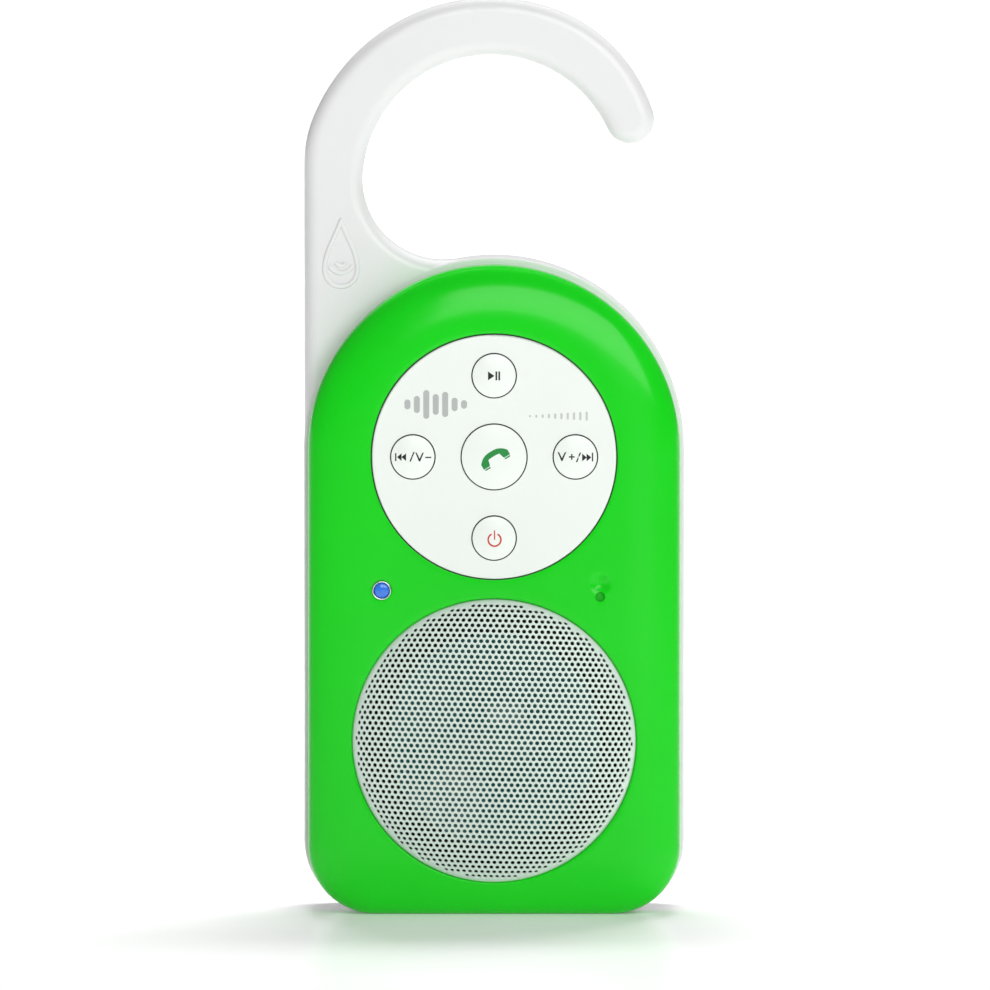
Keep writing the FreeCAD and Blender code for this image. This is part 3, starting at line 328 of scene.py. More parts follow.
PANEL_FLOOR = high("control_panel", 1)
PANEL_GAP = 0.28 * MM
BUTTON_RIM = 1.2 * MM
BUTTON_GAP = 0.3 * MM
CAP_CROWN = 0.55 * MM
KEY_PLAY = 0.6 * MM
KEY_SIDES = 64
GRILLE_PLAY = 0.2 * MM
GRILLE_SIDES = 180
MOUTH_RADIUS = 29.0 * MM
LAMP_PLAY = 0.05 * MM
LAMP_SIDES = 48
PANEL_SIDES = 160
MIKE_SIDES = 32
SEAT_EDGE = {"panel": 0.2 * MM, "grille": 0.35 * MM, "lamp": 0.12 * MM, "mike": 0.15 * MM}
SEAT_EDGE_STEPS = 4
MIKE_RADIUS = 1.05 * MM
MIKE_PLACE = (middle("microphone_boot").x, middle("microphone_boot").z)


def cap_radius(key):
    return half_width(f"button_{key}") - BUTTON_RIM


def inset(across, up):
    """How far a place on the cover lies inside its outline."""
    flat = COVER_HALF - COVER_CORNER
    if up >= COVER_DOME:
        return COVER_HALF - math.hypot(across, up - COVER_DOME)
    if abs(across) > flat and up < COVER_CORNER:
        return COVER_CORNER - math.hypot(abs(across) - flat, up - COVER_CORNER)
    return min(COVER_HALF - abs(across), up)


def crown(distance):
    """How far the pillow-shaped face falls back at a distance inside its outline."""
    share = 1 - min(max(distance / CROWN_REACH, 0.0), 1.0)
    return CROWN_DROP * (1 - (1 - share ** CROWN_POWER) ** (1 / CROWN_POWER))


def turned(span, steps):
    """Angles in radians from nothing up to, but without, a span in degrees."""
    return [math.radians(span * k / steps) for k in range(steps)]


def cover_outline(distance):
    """Points round the cover, moved inward, with the same count at every distance."""
    flat, bend, side = COVER_HALF - COVER_CORNER, COVER_CORNER - distance, COVER_HALF - distance
    rise = COVER_DOME - COVER_CORNER
    path = [(flat * (2 * k / FOOT_STEPS - 1), distance) for k in range(FOOT_STEPS)]
    path += [(flat + bend * math.sin(a), COVER_CORNER - bend * math.cos(a))
             for a in turned(90, CORNER_STEPS)]
    path += [(side, COVER_CORNER + rise * k / SIDE_STEPS) for k in range(SIDE_STEPS)]
    path += [(side * math.cos(a), COVER_DOME + side * math.sin(a)) for a in turned(180, ARCH_STEPS)]
    path += [(-side, COVER_DOME - rise * k / SIDE_STEPS) for k in range(SIDE_STEPS)]
    path += [(-flat - bend * math.cos(a), COVER_CORNER - bend * math.sin(a))
             for a in turned(90, CORNER_STEPS)]
    return path


def cover_depth(across, up):
    x, z = MIKE_PLACE[0], MIKE_PLACE[1] + DISH_RISE
    share = min(math.hypot(across - x, up - z) / DISH_RADIUS, 1.0)
    return COVER_FACE + crown(inset(across, up)) + DISH_DEPTH * (1 - share ** 2) ** 2


def cover_grid(keep_out):
    """Extra points on the face: a fine lattice in the microphone's dish and a coarser one elsewhere."""
    dish = (MIKE_PLACE[0], MIKE_PLACE[1] + DISH_RISE)
    for pitch, inside in ((DISH_PITCH, True), (FACE_PITCH, False)):
        rows = int(high("front_cover", 2) / (pitch * ROW_SHARE))
        for row in range(rows):
            up = row * pitch * ROW_SHARE
            for column in range(-int(COVER_HALF / pitch), int(COVER_HALF / pitch)):
                across = (column + 0.5 * (row % 2)) * pitch
                near = math.dist((across, up), dish) < DISH_RADIUS + DISH_MARGIN
                if near != inside or inset(across, up) < CROWN_SPAN + 0.5 * pitch:
                    continue
                if all(math.dist((across, up), (x, z)) > radius + 0.6 * pitch for x, z, radius in keep_out):
                    yield (across, cover_depth(across, up), up)


def outline_ring(shell, distance, depth):
    return shell.ring([(x, depth, z) for x, z in cover_outline(distance)])


def cover_wall(shell):
    """Side wall and crown, from the back edge inward; returns the first ring and the last."""
    profile = [(ease * MM, COVER_BACK - back * MM) for ease, back in BACK_EASE]
    for step in range(CROWN_STEPS + 1):
        angle = CROWN_EDGE * step / CROWN_STEPS
        distance = CROWN_REACH * (1 - math.cos(angle) ** (2 / CROWN_POWER))
        profile.append((distance, COVER_FACE + crown(distance)))
    rings = [outline_ring(shell, distance, depth) for distance, depth in profile]
    shell.join(*rings)
    return rings[0], rings[-1]


def cover_seats():
    """Centre, radius, depth and count of points of each seat in the face."""
    panel, grille, lamp = middle("control_panel"), middle("speaker_grille"), middle("light_bezel")
    return {
        "panel": (panel.x, panel.z, half_width("control_panel") + PANEL_GAP, PANEL_FLOOR, PANEL_SIDES),
        "grille": (grille.x, grille.z, GRILLE_RADIUS + GRILLE_PLAY, high("speaker_grille", 1),
                   GRILLE_SIDES),
        "lamp": (lamp.x, lamp.z, half_width("light_bezel") + LAMP_PLAY, high("light_bezel", 1),
                 LAMP_SIDES),
        "mike": MIKE_PLACE + (MIKE_RADIUS, COVER_FLOOR, MIKE_SIDES),
    }


def sink_seats(shell, seats, rim):
    """The face inside the rim, with a rounded edge and a straight wall down to each seat's floor."""
    mouths, keep_out, floors = [], [], {}
    for name, (x, z, radius, depth, count) in seats.items():
        edge = SEAT_EDGE[name]
        rows = []
        for step in range(SEAT_EDGE_STEPS + 1):
            angle = math.radians(90 * step / SEAT_EDGE_STEPS)
            size = radius + edge * (1 - math.sin(angle))
            sunk = edge * (1 - math.cos(angle))
            rows.append(shell.ring(around(x, z, size, lambda a, b: cover_depth(a, b) + sunk, count)))
        rows.append(shell.ring(around(x, z, radius, depth, count)))
        shell.join(*rows)
        mouths.append(rows[0])
        keep_out.append((x, z, radius + edge))
        floors[name] = rows[-1]
    grid = shell.ring(list(cover_grid(keep_out)))
    shell.fill(rim, mouths, grid)
    return floors


def open_seats(shell, seats, floors):
    """The seats' floors and the openings through them; returns the openings' inner ends."""
    through = [floors["mike"]]
    holes = []
    for key in KEYS:
        place = middle(f"button_{key}")
        radius = cap_radius(key) + KEY_PLAY
        front = shell.ring(around(place.x, place.z, radius, PANEL_FLOOR, KEY_SIDES))
        back = shell.ring(around(place.x, place.z, radius, COVER_FLOOR, KEY_SIDES))
        shell.join(front, back)
        holes.append(front)
        through.append(back)
    shell.fill(floors["panel"], holes)
    for name, radius in (("grille", MOUTH_RADIUS), ("lamp", half_width("light_guide"))):
        x, z, _, depth, count = seats[name]
        front = shell.ring(around(x, z, radius, depth, count))
        back = shell.ring(around(x, z, radius, COVER_FLOOR, count))
        shell.join(floors[name], front, back)
        through.append(back)
    return through


def cover_inside(shell, back_edge, through):
    """Inner wall, the inner side of the crown, and the inner face round the openings."""
    inner = [(COVER_WALL, COVER_BACK)]
    reach, drop = CROWN_REACH - COVER_WALL, CROWN_DROP - INNER_LIFT
    for step in range(INNER_STEPS + 1):
        angle = CROWN_EDGE * step / INNER_STEPS
        inner.append((COVER_WALL + reach * (1 - math.cos(angle) ** (2 / CROWN_POWER)),
                      COVER_FLOOR + drop * (1 - math.sin(angle) ** (2 / CROWN_POWER))))
    walls = [outline_ring(shell, distance, depth) for distance, depth in inner]
    shell.join(back_edge, *walls)
    shell.fill(walls[-1], through)


def make_cover():
    """The green front, a crowned shell with its seats, openings and inner faces."""
    shell = Shell()
    back_edge, rim = cover_wall(shell)
    seats = cover_seats()
    floors = sink_seats(shell, seats, rim)
    through = open_seats(shell, seats, floors)
    cover_inside(shell, back_edge, through)
    piece = new_piece("cover_skin", shell.points, shell.faces, "green", sharp=40)
    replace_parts(piece, "front_cover")


# ---- printed legends and marks ----------------------------------------------------------

# A printed shape is a list of ribbons. A ribbon is a list of pairs: its two edges, in millimetres from
# the centre of its cap or mark.

INK = 0.03 * MM
LINE = 0.29
ARC_STEPS = 36
HANDSET_LENGTH = 6.9
HANDSET_TURN = 31.0
HANDSET_STEPS = 48
BAR_STEPS = 12


def stroke(start, end, width=LINE):
    run = Vector(end) - Vector(start)
    side = Vector((-run.y, run.x)).normalized() * width / 2
    return [(Vector(start) + side, Vector(start) - side), (Vector(end) + side, Vector(end) - side)]


def arrow(tip, base, half, level=0.0):
    """A solid triangle that points along X."""
    point = Vector((tip, level))
    return [(Vector((base, level + half)), Vector((base, level - half))),
            (point + Vector((0, 0.01)), point - Vector((0, 0.01)))]


def arc(centre, radius, start, end, width=LINE):
    pairs = []
    for k in range(ARC_STEPS + 1):
        angle = math.radians(start + (end - start) * k / ARC_STEPS)
        ray = Vector((math.cos(angle), math.sin(angle)))
        outer, inner = radius + width / 2, radius - width / 2
        pairs.append((Vector(centre) + ray * outer, Vector(centre) + ray * inner))
    return pairs


def letter_v(left, right, top, bottom):
    """A V as one ribbon, mitred at its foot."""
    foot, notch = Vector(((left + right) / 2, bottom)), Vector((0, LINE * 2.2))
    first, second = Vector((left, top)), Vector((right, top))
    across = Vector((LINE * 0.54, 0))
    return [(first - across, first + across), (foot - across * 0.9, foot + notch),
            (foot + across * 0.9, foot + notch), (second + across, second - across)]


def handset():
    """A telephone handset lying on its side, with a fine gap before each of its ends."""
    half = HANDSET_LENGTH / 2
    lean = math.radians(HANDSET_TURN)
    axis, up = Vector((math.cos(lean), math.sin(lean))), Vector((-math.sin(lean), math.cos(lean)))

    def place(along, rise):
        return axis * along + up * rise

    body = []
    for k in range(HANDSET_STEPS + 1):
        along = half * (2 * k / HANDSET_STEPS - 1) * 0.985
        back = 1.6 * (1 - (abs(along) / half) ** 2.8) - 0.15
        blend = min(max((abs(along) - 1.35) / 0.5, 0.0), 1.0)
        blend = blend * blend * (3 - 2 * blend)
        arch = 0.2 - 0.45 * (along / half) ** 2
        body.append((place(along, back), place(along, arch * (1 - blend) - 1.25 * blend)))
    ribbons = [body]
    for side in (-1, 1):
        ribbons.append([(place(side * 1.85, -1.4), place(side * 1.9, -1.72)),
                        (place(side * half * 0.96, -1.4), place(side * half * 0.9, -1.72))])
    return ribbons


def skip_back():
    """A bar and two arrows to the left, a slash, and the volume letter with a minus."""
    return [stroke((-3.8, -0.87), (-3.8, 0.87)), arrow(-3.5, -2.5, 0.84), arrow(-2.52, -1.5, 0.84),
            stroke((-0.6, -1.0), (0.28, 1.15)), letter_v(0.72, 2.3, 1.0, -0.95),
            stroke((2.78, -0.08), (4.12, -0.08))]


def skip_next():
    """The volume letter with a plus, a slash, and two arrows to the right with a bar."""
    return [letter_v(-3.8, -2.2, 1.1, -0.87), stroke((-1.45, 0.05), (-0.17, 0.05)),
            stroke((-0.81, 0.17), (-0.81, 0.7)), stroke((-0.81, -0.07), (-0.81, -0.6)),
            stroke((0.25, -1.12), (1.13, 1.02)), arrow(2.5, 1.5, 0.86, -0.08),
            arrow(3.52, 2.48, 0.86, -0.08), stroke((3.8, -0.98), (3.8, 0.98))]


LEGENDS = {
    "play": ("ink_black", [arrow(0.05, -1.36, 1.0), stroke((0.5, -0.98), (0.5, 0.98), 0.38),
                           stroke((1.14, -0.98), (1.14, 0.98), 0.38)]),
    "back": ("ink_black", skip_back()),
    "next": ("ink_black", skip_next()),
    "call": ("ink_green", handset()),
    "power": ("ink_red", [arc((0.1, -0.33), 1.42, 118, 422, 0.36), stroke((0.1, -0.3), (0.1, 1.75), 0.28)]),
}


def print_ribbons(name, ribbons, centre, depth, look, body):
    """Ink a hair's breadth proud of the surface whose depth is given."""
    shell = Shell()
    for ribbon in ribbons:
        rows = []
        for pair in ribbon:
            spots = [(centre[0] + p.x * MM, centre[1] + p.y * MM) for p in pair]
            spots = [(x, depth(x, z), z) for x, z in spots]
            rows.append(shell.ring([(x, y - INK, z) for x, y, z in spots]
                                   + [(x, y + INK, z) for x, y, z in reversed(spots)]))
        shell.join(*rows)
        shell.cap_ends(rows)
    new_piece(name, shell.points, shell.faces, look, body)


def cap_depth(key):
    """The crowned front of a button's cap, as a function of the place."""
    place, front, radius = middle(f"button_{key}"), low(f"button_{key}", 1), cap_radius(key)
    ball = (radius ** 2 + CAP_CROWN ** 2) / (2 * CAP_CROWN)

    def depth(across, up):
        reach = math.hypot(across - place.x, up - place.z)
        return front + ball - math.sqrt(ball ** 2 - reach ** 2)

    return depth


def make_legends():
    for key, (look, ribbons) in LEGENDS.items():
        place = middle(f"button_{key}")
        print_ribbons(f"legend_{key}", ribbons, (place.x, place.z), cap_depth(key), look,
                      f"{key}_key")


def level_bars(heights, width, gap):
    """A row of upright bars with round ends, centred on the origin."""
    ribbons = []
    for number, tall in enumerate(heights):
        across = (number - (len(heights) - 1) / 2) * (width + gap)
        ribbon = []
        for k in range(BAR_STEPS + 1):
            angle = math.radians(-90 + 180 * k / BAR_STEPS)
            rise = math.sin(angle) * width / 2 + math.copysign(tall - width, k - BAR_STEPS / 2) / 2
            wide = max(math.cos(angle) * width / 2, 0.01)
            ribbon.append((Vector((across - wide, rise)), Vector((across + wide, rise))))
        ribbons.append(ribbon)
    return ribbons


LEVEL_HEIGHTS = (2.2, 3.8, 6.4, 4.6, 5.6, 3.0, 1.9)
LEVEL_PLACE = (-13.0 * MM, 11.7 * MM)
RAMP_HEIGHTS = tuple(0.5 + 0.17 * k for k in range(10))
RAMP_PLACE = (14.3 * MM, 9.1 * MM)


def make_panel_marks():
    """Two grey marks of no maker: a sound level on the left and a volume ramp on the right."""
    panel = middle("control_panel")

    def face(across, up):
        return low("control_panel", 1)

    for name, bars, shift, look in (
        ("level_mark", level_bars(LEVEL_HEIGHTS, 1.35, 0.75), LEVEL_PLACE, "ink_grey"),
        ("volume_mark", level_bars(RAMP_HEIGHTS, 0.5, 0.9), RAMP_PLACE, "ink_pale"),
    ):
        place = (panel.x + shift[0], panel.z + shift[1])
        print_ribbons(name, bars, place, face, look, "case")


DROP_PLACE = (-34.2 * MM, 147.4 * MM)
DROP_WIDE = 5.3 * MM
DROP_TALL = 7.4 * MM
DROP_STEPS = 96
RIPPLES = (1.15 * MM, 2.75 * MM)
RIPPLE_DROP = 1.6 * MM
RIPPLE_STEPS = 24
RIPPLE_START = 205
RIPPLE_TURN = 130
BEAD = 0.55 * MM
BEAD_RISE = 0.42 * MM
BEAD_STEPS = 8


def bead(shell, path, closed):
    """A raised round-topped line along a path on the hook's face."""
    rows = []
    face = low("hook_frame", 1)
    for k, place in enumerate(path):
        before = path[(k - 1) % len(path)] if closed or k else place
        after = path[(k + 1) % len(path)] if closed or k < len(path) - 1 else place
        run = (Vector(after) - Vector(before)).normalized()
        side = Vector((-run.y, run.x))
        row = []
        for step in range(BEAD_STEPS + 1):
            angle = math.radians(180 * step / BEAD_STEPS)
            spot = Vector(place) + side * BEAD * math.cos(angle)
            row.append((spot.x, face - BEAD_RISE * math.sin(angle) ** 0.7, spot.y))
        row += [(row[-1][0], face + INK, row[-1][2]), (row[0][0], face + INK, row[0][2])]
        rows.append(shell.ring(row))
    shell.join(*rows)
    if closed:
        shell.join(rows[-1], rows[0])
    else:
        shell.cap_ends(rows)


def make_neck_mark():
    """A water drop in relief with two ripples in it."""
    shell = Shell()
    drop = []
    for k in range(DROP_STEPS):
        angle = math.tau * k / DROP_STEPS
        wide = DROP_WIDE * math.sin(angle) * math.sin(angle / 2) ** 1.6
        drop.append((DROP_PLACE[0] + wide, DROP_PLACE[1] + DROP_TALL * math.cos(angle)))
    bead(shell, drop, True)
    for radius in RIPPLES:
        ripple = []
        for k in range(RIPPLE_STEPS + 1):
            angle = math.radians(RIPPLE_START + RIPPLE_TURN * k / RIPPLE_STEPS)
            ripple.append((DROP_PLACE[0] + radius * math.cos(angle),
                           DROP_PLACE[1] - RIPPLE_DROP + radius * math.sin(angle)))
        bead(shell, ripple, False)
    new_piece("neck_mark", shell.points, shell.faces, "white", sharp=50)


# ---- grille -----------------------------------------------------------------------------

PITCH = 1.37 * MM
HOLE = 0.46 * MM
HOLE_FLARE = 1.14
SHEET = 0.45 * MM
LIP = 0.06 * MM
HOLE_SIDES = 12
RIM_SIDES = 360
RIM_REACH = 30.9 * MM
RIM_GAP = 0.05 * MM
CURL_STEPS = 6
PATTERN_TURN = math.radians(-1.3)
BOW_STEPS = 900


def bow_lengths():
    """Lengths along the grille's elliptic section from its top, at equal steps of the ellipse's angle."""
    lengths = [0.0]
    for k in range(BOW_STEPS):
        angle = math.radians(90 * (k + 0.5) / BOW_STEPS)
        run = math.hypot(GRILLE_RADIUS * math.cos(angle), GRILLE_DEPTH * math.sin(angle))
        lengths.append(lengths[-1] + run * math.radians(90 / BOW_STEPS))
    return lengths


BOW = bow_lengths()


def bow_angle(length):
    """The ellipse's angle at a length along the section."""
    low_end = max(min(bisect.bisect_right(BOW, length) - 1, len(BOW) - 2), 0)
    share = min((length - BOW[low_end]) / (BOW[low_end + 1] - BOW[low_end]), 1.0)
    return math.radians(90 * (low_end + share) / (len(BOW) - 1))


def bow_place(length, sunk):
    """Distance from the axis and depth behind the top, with the surface sunk along its normal."""
    angle = bow_angle(length)
    out, back = math.sin(angle) / GRILLE_RADIUS, math.cos(angle) / GRILLE_DEPTH
    size = math.hypot(out, back)
    reach = GRILLE_RADIUS * math.sin(angle) - sunk * out / size
    return reach, GRILLE_DEPTH * (1 - math.cos(angle)) + sunk * back / size


def turns_of(points, ring):
    """The angle of every point of a ring round the origin, counted on without a jump."""
    angles, total = [], None
    for number in ring:
        angle = math.atan2(points[number][1], points[number][0])
        if total is None:
            total = angle
        total += (angle - total + math.pi) % math.tau - math.pi
        angles.append(total)
    return angles + [angles[0] + math.tau]


def band(points, inner, outer):
    """Triangles between two closed rings that run the same way round the origin."""
    inner_turns, outer_turns = turns_of(points, inner), turns_of(points, outer)
    faces, i, o = [], 0, 0
    while i < len(inner) or o < len(outer):
        step_inner = o == len(outer) or (i < len(inner) and inner_turns[i + 1] < outer_turns[o + 1])
        a, b = inner[i % len(inner)], outer[o % len(outer)]
        if step_inner:
            i += 1
            faces.append((a, b, inner[i % len(inner)]))
        else:
            o += 1
            faces.append((a, b, outer[o % len(outer)]))
    return faces


def lattice():
    """The centres of the grille's holes, on a triangular lattice laid along the bowed sheet."""
    limit = min(BOW, key=lambda length: abs(bow_place(length, 0)[0] - RIM_REACH))
    reach = int(limit / PITCH) + 3
    for row in range(-reach, reach + 1):
        for column in range(-reach, reach + 1):
            across = (column + 0.5 * (row % 2)) * PITCH
            up = row * PITCH * math.sqrt(3) / 2
            if math.hypot(across, up) <= limit:
                yield across, up


def cell_rows(vertex, across, up):
    """Rings of one cell from its front rim through its hole to its back rim."""
    turns = [math.radians(30 + side * 360 / HOLE_SIDES) for side in range(HOLE_SIDES)]
    rim = [PITCH / math.sqrt(3), PITCH / 2] * (HOLE_SIDES // 2)
    rows = []
    for reach, layer in ((rim, "front"), (HOLE * HOLE_FLARE, "front"), (HOLE, "lip"), (HOLE, "back"),
                         (rim, "back")):
        sizes = reach if reach is rim else [reach] * HOLE_SIDES
        rows.append([vertex(across + size * math.cos(t), up + size * math.sin(t), layer)
                     for t, size in zip(turns, sizes)])
    return rows


def grille_cells(vertex):
    """Faces round every hole, front and back, and the closed border round all of them."""
    faces, edges = [], set()
    for across, up in lattice():
        rows = cell_rows(vertex, across, up)
        front, back = rows[0], rows[-1]
        for side in range(HOLE_SIDES):
            after = (side + 1) % HOLE_SIDES
            for one, two in zip(rows, rows[1:]):
                faces.append((one[side], one[after], two[after], two[side]))
            shared = (front[after], front[side], back[after], back[side])
            if shared in edges:
                edges.remove(shared)
            else:
                edges.add((front[side], front[after], back[side], back[after]))
    following = {edge[0]: (edge[1], edge[2]) for edge in edges}
    number = start = min(following)
    front, back = [], []
    while not front or number != start:
        front.append(number)
        number, behind = following[number]
        back.append(behind)
    return faces, front, back


def make_grille():
    """A domed sheet with a real round hole at every point of the lattice, curled in at its rim."""
    centre = middle("speaker_grille")
    points, index = [], {}

    def vertex(across, up, layer):
        key = (round(across * 1e7), round(up * 1e7), layer)
        if key not in index:
            index[key] = len(points)
            points.append((across, up, layer))
        return index[key]

    def ring(radius, layer):
        turns = [math.tau * k / RIM_SIDES for k in range(RIM_SIDES)]
        return [vertex(radius * math.cos(t), radius * math.sin(t), layer) for t in turns]

    faces, front, back = grille_cells(vertex)
    first = max(range(len(front)), key=lambda k: points[front[k]][0])
    front, back = front[first:] + front[:first], back[first:] + back[:first]
    start = max(math.hypot(*points[number][:2]) for number in front) + RIM_GAP
    curl = [start + (BOW[-1] - start) * step / CURL_STEPS for step in range(CURL_STEPS + 1)]
    outer = [ring(length, "front") for length in curl]
    inner = [ring(length, "back") for length in curl]
    faces += band(points, front, outer[0]) + band(points, back, inner[0])
    for rows in (outer, inner, [outer[-1], inner[-1]]):
        for one, two in zip(rows, rows[1:]):
            for k in range(RIM_SIDES):
                after = (k + 1) % RIM_SIDES
                faces.append((one[k], one[after], two[after], two[k]))
    sunk = {"front": 0.0, "lip": LIP, "back": SHEET}
    places = []
    for across, up, layer in points:
        length = max(math.hypot(across, up), 1e-9)
        reach, depth = bow_place(length, sunk[layer])
        turn = math.atan2(up, across) + PATTERN_TURN
        places.append((centre.x + reach * math.cos(turn), low("speaker_grille", 1) + depth,
                       centre.z + reach * math.sin(turn)))
    piece = new_piece("grille_sheet", places, faces, "grille", sharp=50)
    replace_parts(piece, "speaker_grille")


# ---- small round pieces -----------------------------------------------------------------

# Sizes of the black ring behind the grille's rim, which is painted shade seen through the holes.
RIM_SHADE_THICK = 0.3 * MM
RIM_SHADE_EASE = 0.1 * MM
RIM_SHADE_OUT = 0.15 * MM
RIM_SHADE_IN = 0.4 * MM
# Sizes of the black rings in the gaps round the panel and caps, which are painted shade.
GAP_SHADE_TALL = 0.5 * MM
GAP_SHADE_CROWN = 0.06 * MM
PANEL_GAP_SHADE_SUNK = 0.35 * MM
KEY_GAP_SHADE_SUNK = 0.3 * MM
BEZEL_RISE = 0.3 * MM
BEZEL_PLAY = 0.05 * MM
ROUND_STEPS = 8
RING_SIDES = 96
# Sizes of the disc in the microphone's hole, which is painted shade.
MIC_SHADE_SUNK = 0.75 * MM
MIC_SHADE_THICK = 0.2 * MM
MIC_SHADE_BULGE = 0.05 * MM
MIC_SHADE_FLAT = 0.6
LENS_RISE = 0.45 * MM
LENS_PLAY = 0.08 * MM
LENS_SKIRT = 0.5 * MM
LENS_SUNK = 0.1 * MM
LENS_TURN = 82


def make_ring(name, centre, rows, look):
    """A closed ring turned from a section: pairs of radius and depth."""
    shell = Shell()
    rings = [shell.ring(around(centre.x, centre.z, radius, depth, RING_SIDES)) for radius, depth in rows]
    shell.join(*rings, rings[0])
    return new_piece(name, shell.points, shell.faces, look, sharp=40)


def make_grille_rim_shade():
    """A black ring behind the grille's edge on its seat: painted shade that makes the holes near the rim
    look dark.
    """
    back = high("speaker_grille", 1)
    outer, inner = GRILLE_RADIUS - SHEET - RIM_SHADE_OUT, MOUTH_RADIUS - RIM_SHADE_IN
    front = back - RIM_SHADE_THICK
    rows = [(outer, back - INK), (outer, front), (inner + RIM_SHADE_EASE, front),
            (inner, front + RIM_SHADE_EASE), (inner, back - INK)]
    make_ring("grille_rim_shade", middle("speaker_grille"), rows, "foam")


def make_gap_shade_rings():
    """Thin black rings sunk in the gaps round the panel and the five caps: painted shade that makes the gaps
    read dark.
    """
    face = low("control_panel", 1)
    gaps = {"panel_gap_shade": (middle("control_panel"), half_width("control_panel"), PANEL_GAP,
                           PANEL_GAP_SHADE_SUNK)}
    for key in KEYS:
        gaps[f"{key}_seal"] = (middle(f"button_{key}"), cap_radius(key), BUTTON_GAP, KEY_GAP_SHADE_SUNK)
    for name, (centre, radius, gap, sunk) in gaps.items():
        inner, outer, front = radius + INK, radius + gap - INK / 2, face + sunk
        rows = [(inner, front + GAP_SHADE_TALL), (inner, front + GAP_SHADE_CROWN), ((inner + outer) / 2, front),
                (outer, front + GAP_SHADE_CROWN), (outer, front + GAP_SHADE_TALL)]
        make_ring(name, centre, rows, "gap_shade")


def make_bezel():
    """The status light's chrome ring, round in section."""
    centre, front = middle("light_bezel"), low("light_bezel", 1)
    outer, inner = half_width("light_bezel"), half_width("light_guide") + BEZEL_PLAY
    rows = [(outer, high("light_bezel", 1))]
    for step in range(ROUND_STEPS + 1):
        angle = math.radians(180 * step / ROUND_STEPS)
        rows.append(((outer + inner) / 2 + (outer - inner) / 2 * math.cos(angle),
                     front + BEZEL_RISE * (1 - math.sin(angle))))
    rows.append((inner, high("light_bezel", 1)))
    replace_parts(make_ring("bezel_ring", centre, rows, "chrome"), "light_bezel")


def make_plug(name, centre, rows, sides, look, sharp):
    """A closed round piece turned from pairs of radius and depth, flat at both ends."""
    shell = Shell()
    rings = [shell.ring(around(centre[0], centre[1], radius, depth, sides)) for radius, depth in rows]
    shell.join(*rings)
    shell.cap_ends(rings)
    new_piece(name, shell.points, shell.faces, look, sharp=sharp)


def make_mic_hole_shade():
    """A green disc sunk in the microphone's hole: painted shade for the hole's dim green inside."""
    front, radius = COVER_FACE + MIC_SHADE_SUNK, MIKE_RADIUS - INK / 3
    rows = [(radius, front + MIC_SHADE_THICK), (radius, front), (MIKE_RADIUS * MIC_SHADE_FLAT, front - MIC_SHADE_BULGE)]
    make_plug("mic_hole_shade", MIKE_PLACE, rows, MIKE_SIDES, "mesh", 50)


def make_lens():
    """The clear blue dome over the status light."""
    centre, front = middle("light_guide"), low("light_guide", 1)
    radius = half_width("light_guide") - LENS_PLAY
    rows = [(radius, front + LENS_SKIRT)]
    for step in range(ROUND_STEPS):
        angle = math.radians(LENS_TURN * step / (ROUND_STEPS - 1))
        rows.append((radius * math.cos(angle), front + LENS_SUNK - LENS_RISE * math.sin(angle)))
    make_plug("status_lens", (centre.x, centre.z), rows, LAMP_SIDES, "light", 40)


# ---- stage ------------------------------------------------------------------------------

VIEW_HEIGHT = 94.0 * MM
VIEW_SIDE = 0.2 * MM
VIEW_SPAN = 220.5 * MM
VIEW_DISTANCE = 3.0
VIEW_RISE = math.radians(3.0)
SENSOR = 36.0

FLOOR_FLAT = 4.0
FLOOR_RINGS = 4
FLOOR_BEND = 0.3
BEND_STEPS = 12
FLOOR_SIDES = 96
GLOW_NEAR = 0.1
GLOW_FAR = 1.0
GLOW_FRONT = 0.1
GLOW_BACK = 0.8
SKY = 0.27


def make_camera():
    data = bpy.data.cameras.new("camera")
    camera = bpy.data.objects.new("camera", data)
    bpy.context.collection.objects.link(camera)
    target = Vector((VIEW_SIDE, low("front_cover", 1), VIEW_HEIGHT))
    back = Vector((0, -math.cos(VIEW_RISE), math.sin(VIEW_RISE)))
    camera.location = target + back * VIEW_DISTANCE
    camera.rotation_euler = (-back).to_track_quat("-Z", "Y").to_euler()
    data.sensor_width = SENSOR
    data.lens = SENSOR * VIEW_DISTANCE / VIEW_SPAN
    data.clip_start, data.clip_end = 0.01, 20.0
    bpy.context.scene.camera = camera


def floor_paint():
    """White, with a glow that grows toward the back, where the lamps don't reach."""
    paint = surface("floor_white", (0.93, 0.93, 0.93), rough=0.2, spread=0.02, grain=60, bump=0.0,
                    vary=0.004, Specular_IOR_Level=0.003, Emission_Color=(1, 1, 1, 1))
    nodes, links = paint.node_tree.nodes, paint.node_tree.links
    place = nodes.new("ShaderNodeTexCoord")
    axes = nodes.new("ShaderNodeSeparateXYZ")
    links.new(place.outputs["Object"], axes.inputs[0])
    glow = nodes.new("ShaderNodeMapRange")
    glow.interpolation_type = "SMOOTHSTEP"
    glow.inputs["From Min"].default_value = GLOW_NEAR
    glow.inputs["From Max"].default_value = GLOW_FAR
    glow.inputs["To Min"].default_value = GLOW_FRONT
    glow.inputs["To Max"].default_value = GLOW_BACK
    links.new(axes.outputs["Y"], glow.inputs["Value"])
    links.new(glow.outputs["Result"], nodes["Principled BSDF"].inputs["Emission Strength"])
    return paint


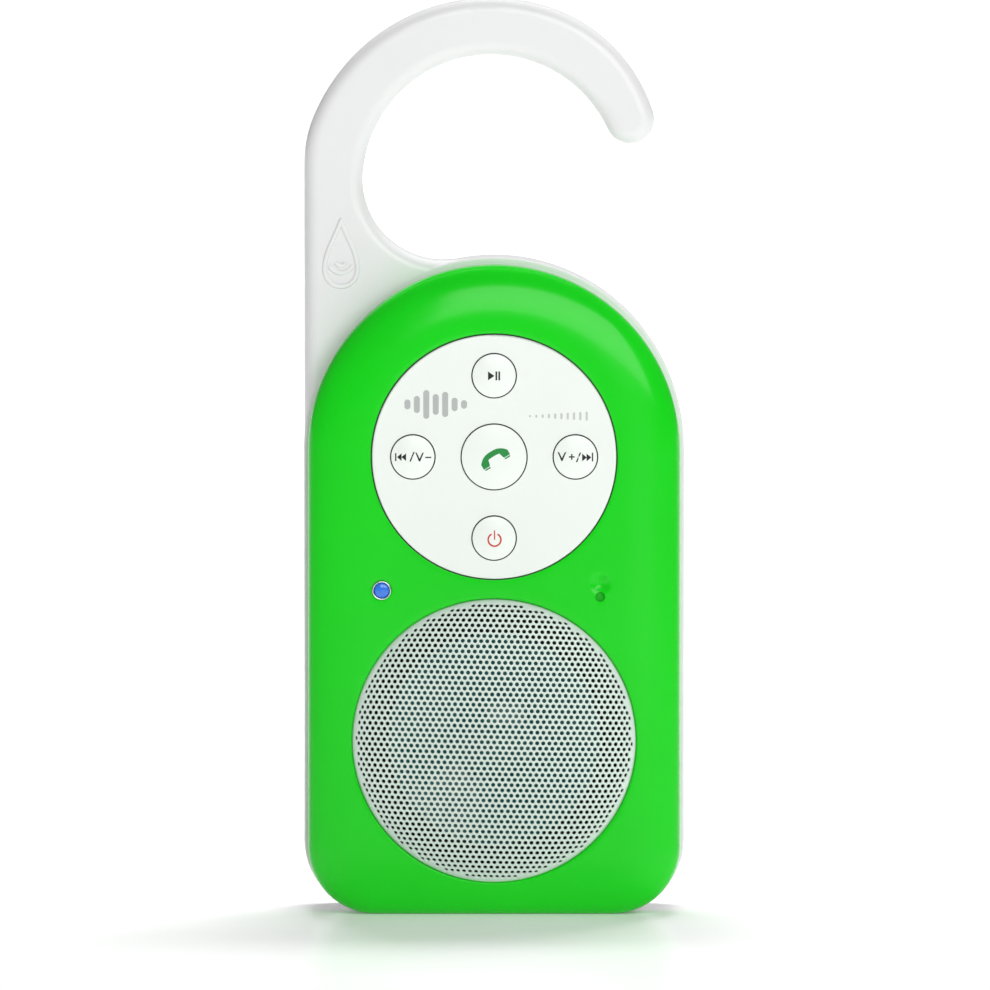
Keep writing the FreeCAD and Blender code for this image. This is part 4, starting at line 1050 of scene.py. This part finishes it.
def make_floor():
    """A round floor whose rim curves up beyond every view's camera."""
    line = [(FLOOR_FLAT * step / FLOOR_RINGS, 0.0) for step in range(1, FLOOR_RINGS + 1)]
    for step in range(1, BEND_STEPS + 1):
        angle = math.radians(90 * step / BEND_STEPS)
        line.append((FLOOR_FLAT + FLOOR_BEND * math.sin(angle), FLOOR_BEND * (1 - math.cos(angle))))
    points = [(0, 0, 0)]
    for radius, up in line:
        for side in range(FLOOR_SIDES):
            angle = math.tau * side / FLOOR_SIDES
            points.append((radius * math.cos(angle), radius * math.sin(angle), up))
    faces = [(0, 1 + side, 1 + (side + 1) % FLOOR_SIDES) for side in range(FLOOR_SIDES)]
    for ring in range(len(line) - 1):
        inner = 1 + ring * FLOOR_SIDES
        outer = inner + FLOOR_SIDES
        for side in range(FLOOR_SIDES):
            after = (side + 1) % FLOOR_SIDES
            faces.append((inner + side, outer + side, outer + after, inner + after))
    mesh = bpy.data.meshes.new("floor")
    mesh.from_pydata(points, [], faces)
    mesh.shade_smooth()
    mesh.materials.append(floor_paint())
    floor = bpy.data.objects.new("floor", mesh)
    bpy.context.collection.objects.link(floor)


def area_light(name, place, aim, wide, tall, power, shown):
    """A rectangular lamp; shown says whether it is seen in glossy surfaces."""
    data = bpy.data.lights.new(name, "AREA")
    data.shape = "RECTANGLE"
    data.size, data.size_y = wide, tall
    data.energy = power
    lamp = bpy.data.objects.new(name, data)
    bpy.context.collection.objects.link(lamp)
    lamp.location = place
    lamp.rotation_euler = (Vector(aim) - Vector(place)).to_track_quat("-Z", "Y").to_euler()
    lamp.visible_glossy = shown


def make_lights():
    """Soft studio lamps in front and above, and a faint even light from all round."""
    area_light("key", (0.32, -1.0, 0.63), (0, 0, 0.1), 1.1, 0.6, 6.5, True)
    area_light("fill", (0.5, -1.3, 0.14), (0, 0, 0.1), 0.5, 0.5, 4.0, False)
    area_light("top", (0.05, 0.45, 0.95), (0, 0, 0.02), 0.5, 0.3, 9.2, False)
    world = bpy.data.worlds.new("studio")
    world.use_nodes = True
    sky = world.node_tree.nodes["Background"]
    sky.inputs["Color"].default_value = (1, 1, 1, 1)
    sky.inputs["Strength"].default_value = SKY
    bpy.context.scene.world = world
    bpy.context.scene.view_settings.view_transform = "Standard"


# ---- put together -----------------------------------------------------------------------

dress_nodes()
make_cover()
make_grille()
make_grille_rim_shade()
make_gap_shade_rings()
make_bezel()
make_mic_hole_shade()
make_lens()
make_legends()
make_panel_marks()
make_neck_mark()
make_camera()
make_floor()
make_lights()
